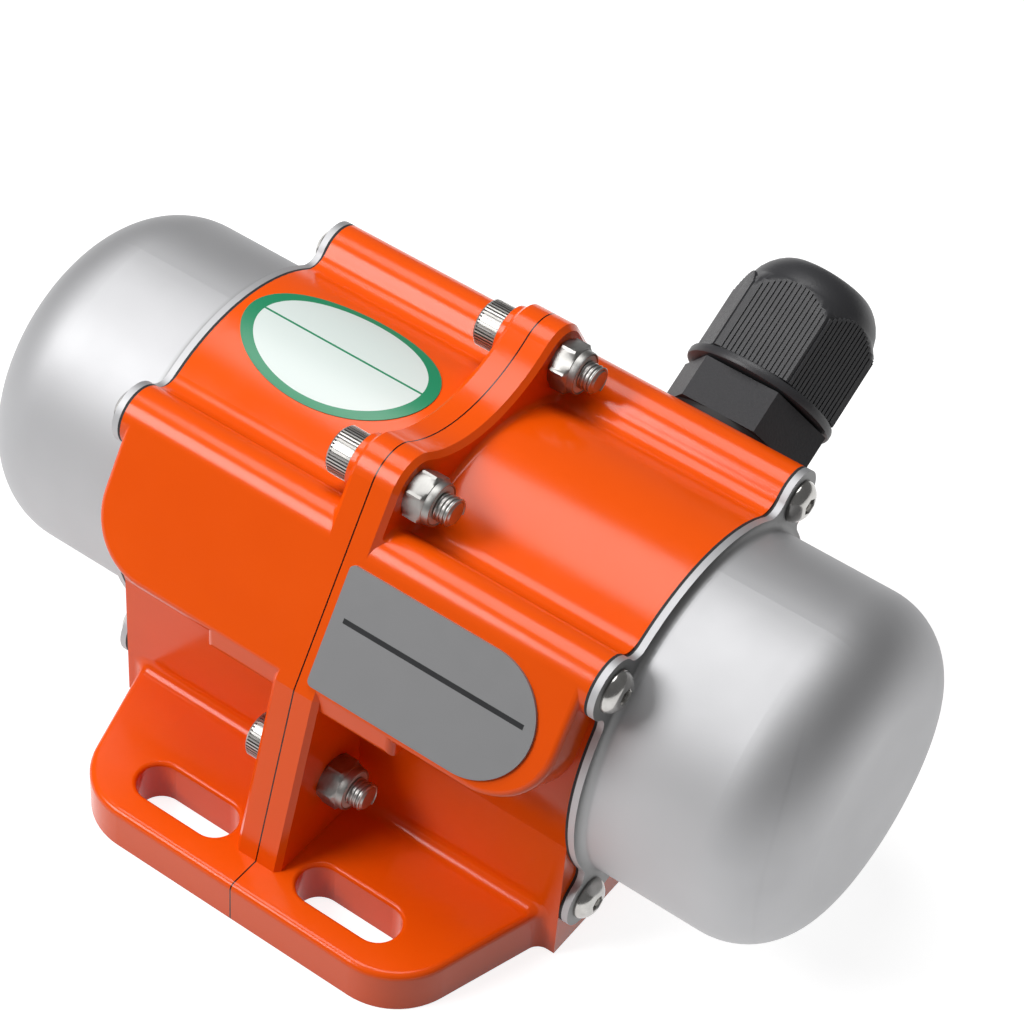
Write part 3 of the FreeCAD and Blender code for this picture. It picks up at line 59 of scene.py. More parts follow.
# ---------------------------------------------------------------------------------------------
# Housing. Two die-cast aluminium halves that meet in a plane across the shaft, stove-enamelled
# orange after casting, with a thin dark gap where they meet. The CAD solids carry the whole
# form, so they only get their finish here.
# ---------------------------------------------------------------------------------------------


def new_finish(name, colour, roughness, metallic=0.0):
    """A material with one shader, and the shader."""
    material = bpy.data.materials.new(name)
    material.use_nodes = True
    shader = material.node_tree.nodes["Principled BSDF"]
    shader.inputs["Base Color"].default_value = (*colour, 1)
    shader.inputs["Roughness"].default_value = roughness
    shader.inputs["Metallic"].default_value = metallic
    return material, shader


def step(tree, kind, settings=None, **inputs):
    """Adds a node to any node tree; inputs go by name, or by number as _0, _1."""
    node = tree.nodes.new(kind)
    for name, setting in (settings or {}).items():
        setattr(node, name, setting)
    for name, given in inputs.items():
        socket = node.inputs[int(name[1:])] if name[0] == "_" else node.inputs[name.replace("_", " ")]
        if isinstance(given, bpy.types.NodeSocket):
            tree.links.new(given, socket)
        else:
            socket.default_value = given
    return node.outputs[0]


def calc(tree, operation, *values):
    """A math node's result. Each value is a number or another node's output."""
    inputs = {f"_{place}": value for place, value in enumerate(values)}
    return step(tree, "ShaderNodeMath", {"operation": operation}, **inputs)


def mottle(material, size, stretch=(1, 1, 1), detail=3.0):
    """Noise in the piece's own space, with patches about this many metres across."""
    tree = material.node_tree
    place = tree.nodes.new("ShaderNodeTexCoord").outputs["Object"]
    scale = [1 / (size * factor) for factor in stretch]
    moved = step(tree, "ShaderNodeMapping", Vector=place, Scale=scale)
    return step(tree, "ShaderNodeTexNoise", Vector=moved, Scale=1.0, Detail=detail)


def own_place(material):
    """The X, Y and Z of each point in the piece's own space."""
    tree = material.node_tree
    split = tree.nodes.new("ShaderNodeSeparateXYZ")
    tree.links.new(tree.nodes.new("ShaderNodeTexCoord").outputs["Object"], split.inputs[0])
    return split.outputs


def blend_colours(material, amount, first, second):
    """Goes from the first colour to the second. Each is a colour or another node's output."""
    tree = material.node_tree
    node = tree.nodes.new("ShaderNodeMix")
    node.data_type = "RGBA"
    tree.links.new(amount, node.inputs["Factor"])
    for socket, colour in ((node.inputs["A"], first), (node.inputs["B"], second)):
        if isinstance(colour, bpy.types.NodeSocket):
            tree.links.new(colour, socket)
        else:
            socket.default_value = (*colour, 1)
    return node.outputs["Result"]


def paint(material, shader, colour):
    material.node_tree.links.new(colour, shader.inputs["Base Color"])


def wear(material, shader, pattern, low, high):
    """Lets the roughness wander between two values with a pattern."""
    spread = step(material.node_tree, "ShaderNodeMapRange", Value=pattern, _3=low, _4=high)
    material.node_tree.links.new(spread, shader.inputs["Roughness"])


def relief(material, shader, height, depth):
    """Turns a height pattern into fine relief, this many metres deep."""
    tree = material.node_tree
    normal = step(tree, "ShaderNodeBump", Height=height, Distance=depth, Strength=1.0)
    tree.links.new(normal, shader.inputs["Normal"])


def give(material, *nodes):
    """Makes this the only material of these CAD nodes."""
    for name in nodes:
        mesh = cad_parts[name].data
        mesh.materials.clear()
        mesh.materials.append(material)


ENAMEL, ENAMEL_THIN, SEAM_SHADE = (0.90, 0.098, 0.002), (0.84, 0.084, 0.001), (0.02, 0.004, 0.001)
SEAM_HALF_WIDTH, ENAMEL_SHEEN = 0.13 * MM, 0.28
enamel, shader = new_finish("orange_stove_enamel", ENAMEL, 0.3)
coat = blend_colours(enamel, mottle(enamel, 14 * MM), ENAMEL_THIN, ENAMEL)
in_seam = calc(enamel.node_tree, "COMPARE", own_place(enamel)["X"], 0.0, SEAM_HALF_WIDTH)
paint(enamel, shader, blend_colours(enamel, in_seam, coat, SEAM_SHADE))
wear(enamel, shader, mottle(enamel, 5 * MM), 0.15, 0.24)
relief(enamel, shader, mottle(enamel, 1.6 * MM, detail=1.0), 0.012 * MM)
shader.inputs["Specular IOR Level"].default_value = ENAMEL_SHEEN
give(enamel, "housing_left", "housing_right")

# ---------------------------------------------------------------------------------------------
# Seam screws. Four M5 socket-head screws in bright stainless steel clamp the halves together
# from the left: straight-knurled heads, and a rolled thread that stands out past the nuts.
# ---------------------------------------------------------------------------------------------

bright_steel, shader = new_finish("bright_stainless_steel", (0.43, 0.42, 0.405), 0.38, 1.0)
wear(bright_steel, shader, mottle(bright_steel, 1.5 * MM), 0.34, 0.44)
relief(bright_steel, shader, mottle(bright_steel, 0.3 * MM), 0.001 * MM)


def solid_centres(node):
    """The middle of each separate solid in a CAD node, from its mesh."""
    work = bmesh.new()
    work.from_mesh(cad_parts[node].data)
    bmesh.ops.remove_doubles(work, verts=work.verts, dist=1e-6)
    left = set(work.verts)
    centres = []
    while left:
        grown, front = set(), [left.pop()]
        while front:
            point = front.pop()
            grown.add(point)
            for edge in point.link_edges:
                other = edge.other_vert(point)
                if other in left:
                    left.remove(other)
                    front.append(other)
        low = Vector([min(point.co[axis] for point in grown) for axis in range(3)])
        high = Vector([max(point.co[axis] for point in grown) for axis in range(3)])
        centres.append((low + high) / 2)
    work.free()
    return sorted(centres, key=lambda centre: (round(centre.z, 4), centre.y))


def ring_points(along, round_radius, flats, count):
    """A ring about X: a circle, a hexagon, or a hexagon with its corners turned round."""
    points = []
    for number in range(count):
        angle = 2 * math.pi * number / count
        radius = round_radius
        if flats:
            from_flat = (angle + math.pi / 6) % (math.pi / 3) - math.pi / 6
            radius = min(round_radius, flats / 2 / math.cos(from_flat))
        points.append(Vector((along, radius * math.cos(angle), radius * math.sin(angle))) * MM)
    return points


def shaded_piece(name, work, sharp):
    """Turns built faces into a smooth piece that keeps its edges sharper than this angle."""
    bmesh.ops.recalc_face_normals(work, faces=work.faces)
    mesh = bpy.data.meshes.new(name)
    work.to_mesh(mesh)
    work.free()
    for face in mesh.polygons:
        face.use_smooth = True
    mesh.set_sharp_from_angle(angle=math.radians(sharp))
    piece = bpy.data.objects.new(name, mesh)
    bpy.context.collection.objects.link(piece)
    return piece


def turned(name, rings, count=96, sharp=35):
    """A closed part turned about X through rings of (place, round radius, width across flats), in mm."""
    work = bmesh.new()
    skins = [[work.verts.new(point) for point in ring_points(*ring, count)] for ring in rings]
    for first, second in zip(skins, skins[1:]):
        for number in range(count):
            after = (number + 1) % count
            work.faces.new((first[number], second[number], second[after], first[after]))
    work.faces.new(skins[0])
    work.faces.new(reversed(skins[-1]))
    return shaded_piece(name, work, sharp)


def new_tree(name, sizes):
    """A geometry node tree with a named input for each size, its input node and its output node."""
    tree = bpy.data.node_groups.new(name, "GeometryNodeTree")
    tree.interface.new_socket("Geometry", in_out="INPUT", socket_type="NodeSocketGeometry")
    kinds = {int: "NodeSocketInt", float: "NodeSocketFloat", bpy.types.Object: "NodeSocketObject",
             bpy.types.Material: "NodeSocketMaterial"}
    for label, size in sizes.items():
        tree.interface.new_socket(label, in_out="INPUT", socket_type=kinds[type(size)])
    tree.interface.new_socket("Geometry", in_out="OUTPUT", socket_type="NodeSocketGeometry")
    return tree, tree.nodes.new("NodeGroupInput").outputs, tree.nodes.new("NodeGroupOutput")


def joined(tree, *parts):
    both = tree.nodes.new("GeometryNodeJoinGeometry")
    for part in parts:
        tree.links.new(part, both.inputs[0])
    return both.outputs[0]


def end_tree(tree, end, geometry, material):
    """Closes a tree: its copies made real and given their material."""
    real = step(tree, "GeometryNodeRealizeInstances", Geometry=geometry)
    finished = step(tree, "GeometryNodeSetMaterial", Geometry=real, Material=material)
    tree.links.new(finished, end.inputs["Geometry"])


def apply_tree(piece, tree, sizes):
    """Runs a tree on a piece with these sizes and leaves its result as the piece's plain mesh."""
    modifier = piece.modifiers.new(tree.name, "NODES")
    modifier.node_group = tree
    for item in tree.interface.items_tree:
        if item.in_out == "INPUT" and item.name in sizes:
            modifier[item.identifier] = sizes[item.name]
    bpy.context.view_layer.update()
    seen = piece.evaluated_get(bpy.context.evaluated_depsgraph_get())
    mesh = bpy.data.meshes.new_from_object(seen)
    piece.modifiers.remove(modifier)
    piece.data = mesh
    return piece


KNURL = {"Ridges": 44, "Radius": 3.95 * MM, "Start": -10.2 * MM, "Length": 4.0 * MM, "Width": 0.3 * MM,
         "Depth": 0.58 * MM}
knurl_tree, size, end = new_tree("straight_knurl", KNURL)
section = step(knurl_tree, "ShaderNodeCombineXYZ", X=size["Length"], Y=size["Width"], Z=size["Depth"])
ridge = step(knurl_tree, "GeometryNodeMeshCube", Size=section)
middle = calc(knurl_tree, "MULTIPLY_ADD", size["Length"], 0.5, size["Start"])
spot = step(knurl_tree, "ShaderNodeCombineXYZ", X=middle, Z=size["Radius"])
ridge = step(knurl_tree, "GeometryNodeTransform", Geometry=ridge, Translation=spot)
points = step(knurl_tree, "GeometryNodePoints", Count=size["Ridges"])
share = calc(knurl_tree, "DIVIDE", step(knurl_tree, "GeometryNodeInputIndex"), size["Ridges"])
turn = step(knurl_tree, "ShaderNodeCombineXYZ", X=calc(knurl_tree, "MULTIPLY", share, 2 * math.pi))
ridges = step(knurl_tree, "GeometryNodeInstanceOnPoints", Points=points, Instance=ridge, Rotation=turn)
end_tree(knurl_tree, end, joined(knurl_tree, size["Geometry"], ridges), bright_steel)

THREAD = {"Turns": 6.0, "Radius": 2.28 * MM, "Start": 7.8 * MM, "Length": 4.5 * MM, "Depth": 0.26 * MM}
thread_tree, size, end = new_tree("rolled_thread", THREAD)
helix = step(thread_tree, "GeometryNodeCurveSpiral", Resolution=32, Rotations=size["Turns"],
             Start_Radius=size["Radius"], End_Radius=size["Radius"], Height=size["Length"])
start = step(thread_tree, "ShaderNodeCombineXYZ", X=size["Start"])
helix = step(thread_tree, "GeometryNodeTransform", Geometry=helix, Translation=start,
             Rotation=(0, math.pi / 2, 0))
section = step(thread_tree, "GeometryNodeCurvePrimitiveCircle", Resolution=4, Radius=size["Depth"])
coil = step(thread_tree, "GeometryNodeCurveToMesh", Curve=helix, Profile_Curve=section, Fill_Caps=True)
end_tree(thread_tree, end, joined(thread_tree, size["Geometry"], coil), bright_steel)

seam_screw = turned("seam_screw_blank", [
    (-8.9, 2.02, 4.0), (-10.3, 2.31, 4.0), (-10.7, 2.5, 4.2), (-10.7, 3.55, None), (-10.6, 3.8, None),
    (-10.35, 3.95, None), (-10.2, 4.0, None), (-10.15, 3.7, None), (-6.3, 3.7, None), (-6.25, 4.2, None),
    (-6.15, 4.25, None), (-5.72, 4.25, None), (-5.7, 3.9, None), (-5.7, 2.4, None), (7.0, 2.4, None),
    (7.2, 2.24, None), (12.0, 2.24, None), (12.38, 1.9, None)])
apply_tree(seam_screw, knurl_tree, KNURL)
apply_tree(seam_screw, thread_tree, THREAD)

copy_tree, size, end = new_tree("copies_at_places", {"Blank": seam_screw, "Finish": bright_steel})
info = copy_tree.nodes.new("GeometryNodeObjectInfo")
copy_tree.links.new(size["Blank"], info.inputs["Object"])
twist = copy_tree.nodes.new("GeometryNodeInputNamedAttribute")
twist.data_type = "FLOAT_VECTOR"
twist.inputs["Name"].default_value = "twist"
placed = step(copy_tree, "GeometryNodeInstanceOnPoints", Points=size["Geometry"],
              Instance=info.outputs["Geometry"], Rotation=twist.outputs[0])
end_tree(copy_tree, end, placed, size["Finish"])


def fastener_set(name, blank, finish, places, twists):
    """One piece with a copy of the blank at each place, each turned about and then away from X."""
    mesh = bpy.data.meshes.new(name)
    mesh.from_pydata([Vector(place) for place in places], [], [])
    mesh.attributes.new("twist", "FLOAT_VECTOR", "POINT")
    mesh.attributes["twist"].data.foreach_set("vector", [angle for twist in twists for angle in twist])
    piece = bpy.data.objects.new(name, mesh)
    bpy.context.collection.objects.link(piece)
    apply_tree(piece, copy_tree, {"Blank": blank, "Finish": finish})
    bpy.data.objects.remove(blank)
    return piece


bolt_places = [(0, centre.y, centre.z) for centre in solid_centres("flange_screws")]
bolt_turns = [(math.radians(angle), 0, 0) for angle in (20, 35, 50, 10)]
seam_screws = fastener_set("seam_screws", seam_screw, bright_steel, bolt_places, bolt_turns)
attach(seam_screws, "housing")
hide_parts("flange_screws")

# ---------------------------------------------------------------------------------------------
# Lock nuts. M5 hexagon nuts with a round collar that holds a nylon ring against the thread,
# so that they don't work loose. They sit on the right half's flange, in duller steel.
# ---------------------------------------------------------------------------------------------

lock_nut = turned("lock_nut_blank", [
    (8.75, 2.52, None), (8.75, 3.3, None), (9.3, 3.32, None), (9.55, 3.55, None), (9.5, 3.72, None),
    (9.2, 3.84, None), (8.6, 3.86, None), (8.3, 3.9, None), (8.22, 4.0, 8.0), (7.75, 4.62, 8.0),
    (5.1, 4.62, 8.0), (4.62, 4.05, 8.0), (4.6, 3.9, None), (4.6, 2.52, None)])
nut_steel, shader = new_finish("dull_stainless_steel", (0.34, 0.335, 0.325), 0.4, 1.0)
stained = mottle(nut_steel, 2 * MM, (0.4, 1, 1))
paint(nut_steel, shader, blend_colours(nut_steel, stained, (0.24, 0.235, 0.225), (0.42, 0.415, 0.40)))
wear(nut_steel, shader, stained, 0.36, 0.5)
relief(nut_steel, shader, mottle(nut_steel, 0.4 * MM, (0.4, 1, 1)), 0.004 * MM)
lock_nuts = fastener_set("lock_nuts", lock_nut, nut_steel, bolt_places, bolt_turns)
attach(lock_nuts, "housing")
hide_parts("flange_nuts")

nylon, shader = new_finish("natural_nylon", (0.62, 0.62, 0.58), 0.5)
relief(nylon, shader, mottle(nylon, 0.4 * MM), 0.01 * MM)
give(nylon, "nut_inserts")

# ---------------------------------------------------------------------------------------------
# End caps. Deep-drawn stainless cups with a turned-out rim and four ears, satin finished, one
# over the eccentric weights at each end. Shade is painted grey into the groove where rim and cup
# meet, and a thin black rubber gasket seals each rim.
# ---------------------------------------------------------------------------------------------

STEEL_DARK, STEEL_LIGHT, ROOT_PAINTED_SHADE = (0.48, 0.48, 0.49), (0.56, 0.56, 0.57), (0.3, 0.3, 0.3)
RIM_FACE, ROOT_REACH = 47.88 * MM, 1.8 * MM
satin_steel, shader = new_finish("satin_drawn_stainless", STEEL_LIGHT, 0.6, 1.0)
tree = satin_steel.node_tree
drawn = blend_colours(satin_steel, mottle(satin_steel, 30 * MM, detail=2.0), STEEL_DARK, STEEL_LIGHT)
# Painted shade: the cup is painted grey where it leaves the rim's face, fading out over ROOT_REACH.
from_seam = calc(tree, "ABSOLUTE", own_place(satin_steel)["X"])
on_edge = calc(tree, "LESS_THAN", from_seam, RIM_FACE)
past_root = step(tree, "ShaderNodeMapRange", Value=from_seam, _1=RIM_FACE, _2=RIM_FACE + ROOT_REACH)
outside_painted_shade = calc(tree, "MAXIMUM", on_edge, past_root)
paint(satin_steel, shader, blend_colours(satin_steel, outside_painted_shade, ROOT_PAINTED_SHADE, drawn))
wear(satin_steel, shader, mottle(satin_steel, 9 * MM), 0.58, 0.66)
relief(satin_steel, shader, mottle(satin_steel, 0.35 * MM, (1.6, 1, 1), 4.0), 0.006 * MM)
give(satin_steel, "end_cap_left", "end_cap_right")

black_rubber, shader = new_finish("black_gasket_rubber", (0.018, 0.018, 0.018), 0.7)
relief(black_rubber, shader, mottle(black_rubber, 0.6 * MM), 0.03 * MM)
give(black_rubber, "cap_gasket_left", "cap_gasket_right", "shaft_seal_left", "shaft_seal_right",
     "gland_washer", "gland_seal")

# ---------------------------------------------------------------------------------------------
# Cap screws. M4 button-head screws with hexagon sockets, polished, through the rims' ears into
# the long bosses of the housing.
# ---------------------------------------------------------------------------------------------

HEAD_SEAT = 47.9
polished_steel, shader = new_finish("polished_stainless_steel", (0.52, 0.51, 0.49), 0.22, 1.0)
handled = mottle(polished_steel, 1.2 * MM)
polish = blend_colours(polished_steel, handled, (0.40, 0.39, 0.37), (0.62, 0.61, 0.59))
paint(polished_steel, shader, polish)
wear(polished_steel, shader, handled, 0.15, 0.26)
for side, away in (("left", math.pi), ("right", 0.0)):
    blank = turned("cap_screw_blank_" + side, [
        (HEAD_SEAT + 0.9, 1.26, 2.5), (HEAD_SEAT + 2.1, 1.45, 2.5), (HEAD_SEAT + 2.32, 1.62, 2.7),
        (HEAD_SEAT + 2.3, 1.85, None), (HEAD_SEAT + 2.12, 2.35, None), (HEAD_SEAT + 1.8, 2.85, None),
        (HEAD_SEAT + 1.3, 3.35, None), (HEAD_SEAT + 0.75, 3.68, None), (HEAD_SEAT + 0.3, 3.79, None),
        (HEAD_SEAT + 0.05, 3.74, None), (HEAD_SEAT, 3.5, None), (HEAD_SEAT, 2.0, None),
        (HEAD_SEAT - 9.9, 2.0, None)])
    places = [(0, centre.y, centre.z) for centre in solid_centres("cap_screws_" + side)]
    turns = [(math.radians(angle), 0, away) for angle in (12, 40, 27, 3)]
    screws = fastener_set("cap_screw_set_" + side, blank, polished_steel, places, turns)
    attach(screws, "housing")
    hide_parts("cap_screws_" + side)

# ---------------------------------------------------------------------------------------------
# Nameplate. A grey anodised aluminium plate, square at the seam and round at the other end,
# glued to the near pad. It is bare apart from one plain dark rule.
# ---------------------------------------------------------------------------------------------

PLATE_GREY, RULE_INK, PLATE_METAL = (0.27, 0.27, 0.275), (0.012, 0.012, 0.014), 0.3
RULE_SHARE, RULE_HALF_WIDTH, RULE_MARGIN = 0.41, 0.4 * MM, 2.2 * MM
grey_plate, shader = new_finish("grey_anodised_aluminium", PLATE_GREY, 0.42, PLATE_METAL)
tree = grey_plate.node_tree
low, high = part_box("nameplate")
place = own_place(grey_plate)
rule_height = high.z - (high.z - low.z) * RULE_SHARE
on_rule = calc(tree, "COMPARE", place["Z"], rule_height, RULE_HALF_WIDTH)
in_reach = calc(tree, "COMPARE", place["X"], (low.x + high.x) / 2, (high.x - low.x) / 2 - RULE_MARGIN)
ink = calc(tree, "MULTIPLY", on_rule, in_reach)
paint(grey_plate, shader, blend_colours(grey_plate, ink, PLATE_GREY, RULE_INK))
bare_metal = calc(tree, "MULTIPLY_ADD", ink, -PLATE_METAL, PLATE_METAL)
tree.links.new(bare_metal, shader.inputs["Metallic"])
wear(grey_plate, shader, mottle(grey_plate, 3 * MM), 0.38, 0.5)
relief(grey_plate, shader, mottle(grey_plate, 0.3 * MM, (3, 1, 1)), 0.004 * MM)
give(grey_plate, "nameplate")

# ---------------------------------------------------------------------------------------------
# Inspection label. A white oval film with a green rim and one green line across, smoothed down
# onto the left half's barrel.
# ---------------------------------------------------------------------------------------------

LABEL_WHITE, LABEL_GREEN = (0.66, 0.73, 0.70), (0.012, 0.24, 0.11)
FILM_THICKNESS, FILM_LENGTH_SHARE, FILM_WIDTH_SHARE = 0.15 * MM, 0.94, 0.88
RIM_SHARE, LINE_PLACE, LINE_HALF_WIDTH = 0.87, 0.6 * MM, 0.2 * MM
RINGS, SPOKES = 24, 128
low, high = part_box("inspection_label")
label_middle = (low + high) / 2
label_reach = (high.x - low.x) / 2 * FILM_LENGTH_SHARE
label_half_width = (high.y - low.y) / 2 * FILM_WIDTH_SHARE
shaft_low, shaft_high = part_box("rotor_shaft")
barrel_axis = (shaft_low.z + shaft_high.z) / 2
barrel_radius = high.z - barrel_axis - FILM_THICKNESS
work = bmesh.new()
rims = []
for out in (barrel_radius + FILM_THICKNESS, barrel_radius):
    rings = []
    for ring in range(1, RINGS + 1):
        share = ring / RINGS
        spots = []
        for spoke in range(SPOKES):
            angle = 2 * math.pi * spoke / SPOKES
            along = label_middle.x + label_reach * share * math.cos(angle)
            turn = label_half_width * share * math.sin(angle) / barrel_radius
            spots.append(work.verts.new((along, out * math.sin(turn), barrel_axis + out * math.cos(turn))))
        rings.append(spots)
    centre_spot = work.verts.new((label_middle.x, 0, barrel_axis + out))
    for spoke in range(SPOKES):
        after = (spoke + 1) % SPOKES
        work.faces.new((centre_spot, rings[0][spoke], rings[0][after]))
        for inner, outer in zip(rings, rings[1:]):
            work.faces.new((inner[spoke], outer[spoke], outer[after], inner[after]))
    rims.append(rings[-1])
for spoke in range(SPOKES):
    after = (spoke + 1) % SPOKES
    work.faces.new((rims[0][spoke], rims[0][after], rims[1][after], rims[1][spoke]))
label = shaded_piece("label_film", work, sharp=40)

label_film, shader = new_finish("printed_label_film", LABEL_WHITE, 0.3)
tree = label_film.node_tree
place = own_place(label_film)
along = calc(tree, "DIVIDE", calc(tree, "SUBTRACT", place["X"], label_middle.x), label_reach)
across = calc(tree, "DIVIDE", place["Y"], label_half_width)
reach = calc(tree, "SQRT", calc(tree, "MULTIPLY_ADD", along, along, calc(tree, "MULTIPLY", across, across)))
rim = calc(tree, "GREATER_THAN", reach, RIM_SHARE)
line = calc(tree, "COMPARE", place["Y"], LINE_PLACE, LINE_HALF_WIDTH)
green = calc(tree, "MAXIMUM", rim, line)
paint(label_film, shader, blend_colours(label_film, green, LABEL_WHITE, LABEL_GREEN))
relief(label_film, shader, mottle(label_film, 2 * MM), 0.01 * MM)
label.data.materials.append(label_film)
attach(label, "housing")
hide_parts("inspection_label")

# ---------------------------------------------------------------------------------------------
# Cable gland. Moulded black nylon: a grained hexagonal body screwed into the far pad on a
# rubber washer, and a dome nut with ribbed flats that squeezes a seal onto the supply cable.
# ---------------------------------------------------------------------------------------------

black_nylon, shader = new_finish("moulded_black_nylon", (0.03, 0.03, 0.033), 0.5)
wear(black_nylon, shader, mottle(black_nylon, 4 * MM), 0.36, 0.52)
relief(black_nylon, shader, mottle(black_nylon, 0.5 * MM), 0.02 * MM)
give(black_nylon, "gland_claw")

GRAIN_SHEEN = 0.34
grained_nylon, shader = new_finish("grained_black_nylon", (0.022, 0.022, 0.025), 0.5)
grain = mottle(grained_nylon, 0.45 * MM, detail=4.0)
wear(grained_nylon, shader, grain, 0.4, 0.62)
relief(grained_nylon, shader, grain, 0.035 * MM)
shader.inputs["Specular IOR Level"].default_value = GRAIN_SHEEN
give(grained_nylon, "gland_body")

# The dome nut's places run along its axis from the pad, in mm. Each flat carries a row of ribs
# that end where the dome's round form cuts the hexagon.
NUT_FLATS, NUT_FOOT, NUT_SHOULDER, NUT_CROWN = 24.4, 9.5, 23.4, 27.2
FLAT_DISTANCE, CORNER_DISTANCE, RIB_FOOT = NUT_FLATS / 2, NUT_FLATS / math.sqrt(3), NUT_FOOT + 1.9
RIBS = {"Flats": 6, "Ribs": 15, "Pitch": 0.86 * MM, "Distance": FLAT_DISTANCE * MM, "Foot": RIB_FOOT * MM,
        "Shoulder": NUT_SHOULDER * MM, "Corner": CORNER_DISTANCE * MM,
        "Cut slope": (NUT_CROWN - NUT_SHOULDER) / (CORNER_DISTANCE - FLAT_DISTANCE),
        "Width": 0.6 * MM, "Height": 0.26 * MM}
rib_tree, size, end = new_tree("ribs_on_flats", RIBS)
total = calc(rib_tree, "MULTIPLY", size["Flats"], size["Ribs"])
points = step(rib_tree, "GeometryNodePoints", Count=total)
number = step(rib_tree, "GeometryNodeInputIndex")
flat_number = calc(rib_tree, "FLOOR", calc(rib_tree, "DIVIDE", number, size["Ribs"]))
rib_number = calc(rib_tree, "MODULO", number, size["Ribs"])
middle_rib = calc(rib_tree, "MULTIPLY_ADD", size["Ribs"], 0.5, -0.5)
offset = calc(rib_tree, "MULTIPLY", calc(rib_tree, "SUBTRACT", rib_number, middle_rib), size["Pitch"])
square = calc(rib_tree, "MULTIPLY_ADD", offset, offset, calc(rib_tree, "POWER", size["Distance"], 2.0))
to_corner = calc(rib_tree, "SUBTRACT", size["Corner"], calc(rib_tree, "SQRT", square))
top = calc(rib_tree, "MULTIPLY_ADD", to_corner, size["Cut slope"], size["Shoulder"])
length = calc(rib_tree, "SUBTRACT", top, size["Foot"])
spot = step(rib_tree, "ShaderNodeCombineXYZ", X=size["Foot"], Y=size["Distance"], Z=offset)
turn = step(rib_tree, "ShaderNodeCombineXYZ", X=calc(rib_tree, "MULTIPLY", flat_number, math.pi / 3))
spot = step(rib_tree, "ShaderNodeVectorRotate", {"rotation_type": "EULER_XYZ"}, Vector=spot, Rotation=turn)
points = step(rib_tree, "GeometryNodeSetPosition", Geometry=points, Position=spot)
height = calc(rib_tree, "MULTIPLY", size["Height"], 2.0)
section = step(rib_tree, "ShaderNodeCombineXYZ", X=1.0, Y=height, Z=size["Width"])
rib = step(rib_tree, "GeometryNodeMeshCube", Size=section)
rib = step(rib_tree, "GeometryNodeTransform", Geometry=rib, Translation=(0.5, 0, 0))
stretch = step(rib_tree, "ShaderNodeCombineXYZ", X=length, Y=1.0, Z=1.0)
ribs = step(rib_tree, "GeometryNodeInstanceOnPoints", Points=points, Instance=rib, Rotation=turn,
            Scale=stretch)
end_tree(rib_tree, end, joined(rib_tree, size["Geometry"], ribs), black_nylon)

dome_nut = turned("dome_nut", [
    (28.0, 7.0, None), (32.3, 7.05, None), (32.6, 7.3, None), (32.7, 7.8, None), (32.6, 8.4, None),
    (32.2, 9.05, None), (31.4, 9.95, None), (30.3, 10.85, None), (29.0, 11.6, None), (27.8, 12.0, None),
    (NUT_CROWN, FLAT_DISTANCE - 0.02, None), (NUT_CROWN - 0.1, FLAT_DISTANCE + 0.05, NUT_FLATS),
    (25.3, 13.5, NUT_FLATS), (NUT_SHOULDER, 14.43, NUT_FLATS), (22.8, 14.3, NUT_FLATS),
    (RIB_FOOT, 14.3, NUT_FLATS), (RIB_FOOT - 0.1, 13.5, None), (NUT_FOOT + 1.65, 13.85, None),
    (NUT_FOOT + 1.3, 14.0, None), (NUT_FOOT + 0.5, 14.0, None), (NUT_FOOT + 0.15, 13.85, None),
    (NUT_FOOT, 13.5, None), (NUT_FOOT, 9.9, None), (NUT_FOOT + 15.0, 9.9, None)], count=192, sharp=28)
apply_tree(dome_nut, rib_tree, RIBS)
WASHER_THICKNESS = 1.2 * MM
low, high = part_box("gland_washer")
washer_middle = (low + high) / 2
low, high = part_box("gland_claw")
gland_axis = ((low + high) / 2 - washer_middle).normalized()
gland_seat = washer_middle - gland_axis * WASHER_THICKNESS / 2
sideways = Vector((1, 0, 0))
along_gland = Matrix((gland_axis, sideways.cross(gland_axis), sideways)).transposed().to_4x4()
dome_nut.data.transform(Matrix.Translation(gland_seat) @ along_gland)
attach(dome_nut, "housing")
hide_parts("gland_nut")

# ---------------------------------------------------------------------------------------------
# Motor inside the housing: stacked steel stator and rotor cores, enamelled copper windings and
# a cast aluminium cage. Nothing of it shows while the caps are on.
# ---------------------------------------------------------------------------------------------

lamination, shader = new_finish("stacked_electrical_steel", (0.20, 0.20, 0.22), 0.45, 0.9)
relief(lamination, shader, mottle(lamination, 0.5 * MM, (0.4, 40, 40), 1.0), 0.06 * MM)
give(lamination, "stator_core", "rotor_core")

copper, shader = new_finish("enamelled_copper_wire", (0.55, 0.20, 0.07), 0.32, 0.7)
relief(copper, shader, mottle(copper, 0.6 * MM, (1, 6, 6), 1.0), 0.25 * MM)
shader.inputs["Coat Weight"].default_value = 0.5
give(copper, "stator_windings")

cast_aluminium, shader = new_finish("cast_cage_aluminium", (0.58, 0.58, 0.60), 0.5, 1.0)
relief(cast_aluminium, shader, mottle(cast_aluminium, 0.9 * MM), 0.05 * MM)
give(cast_aluminium, "rotor_cage")

# ---------------------------------------------------------------------------------------------
# Rotating train: the ground shaft, its ball bearings, and the plain steel eccentric weights
# with their keys, spacers, circlips and clamp screws.
# ---------------------------------------------------------------------------------------------

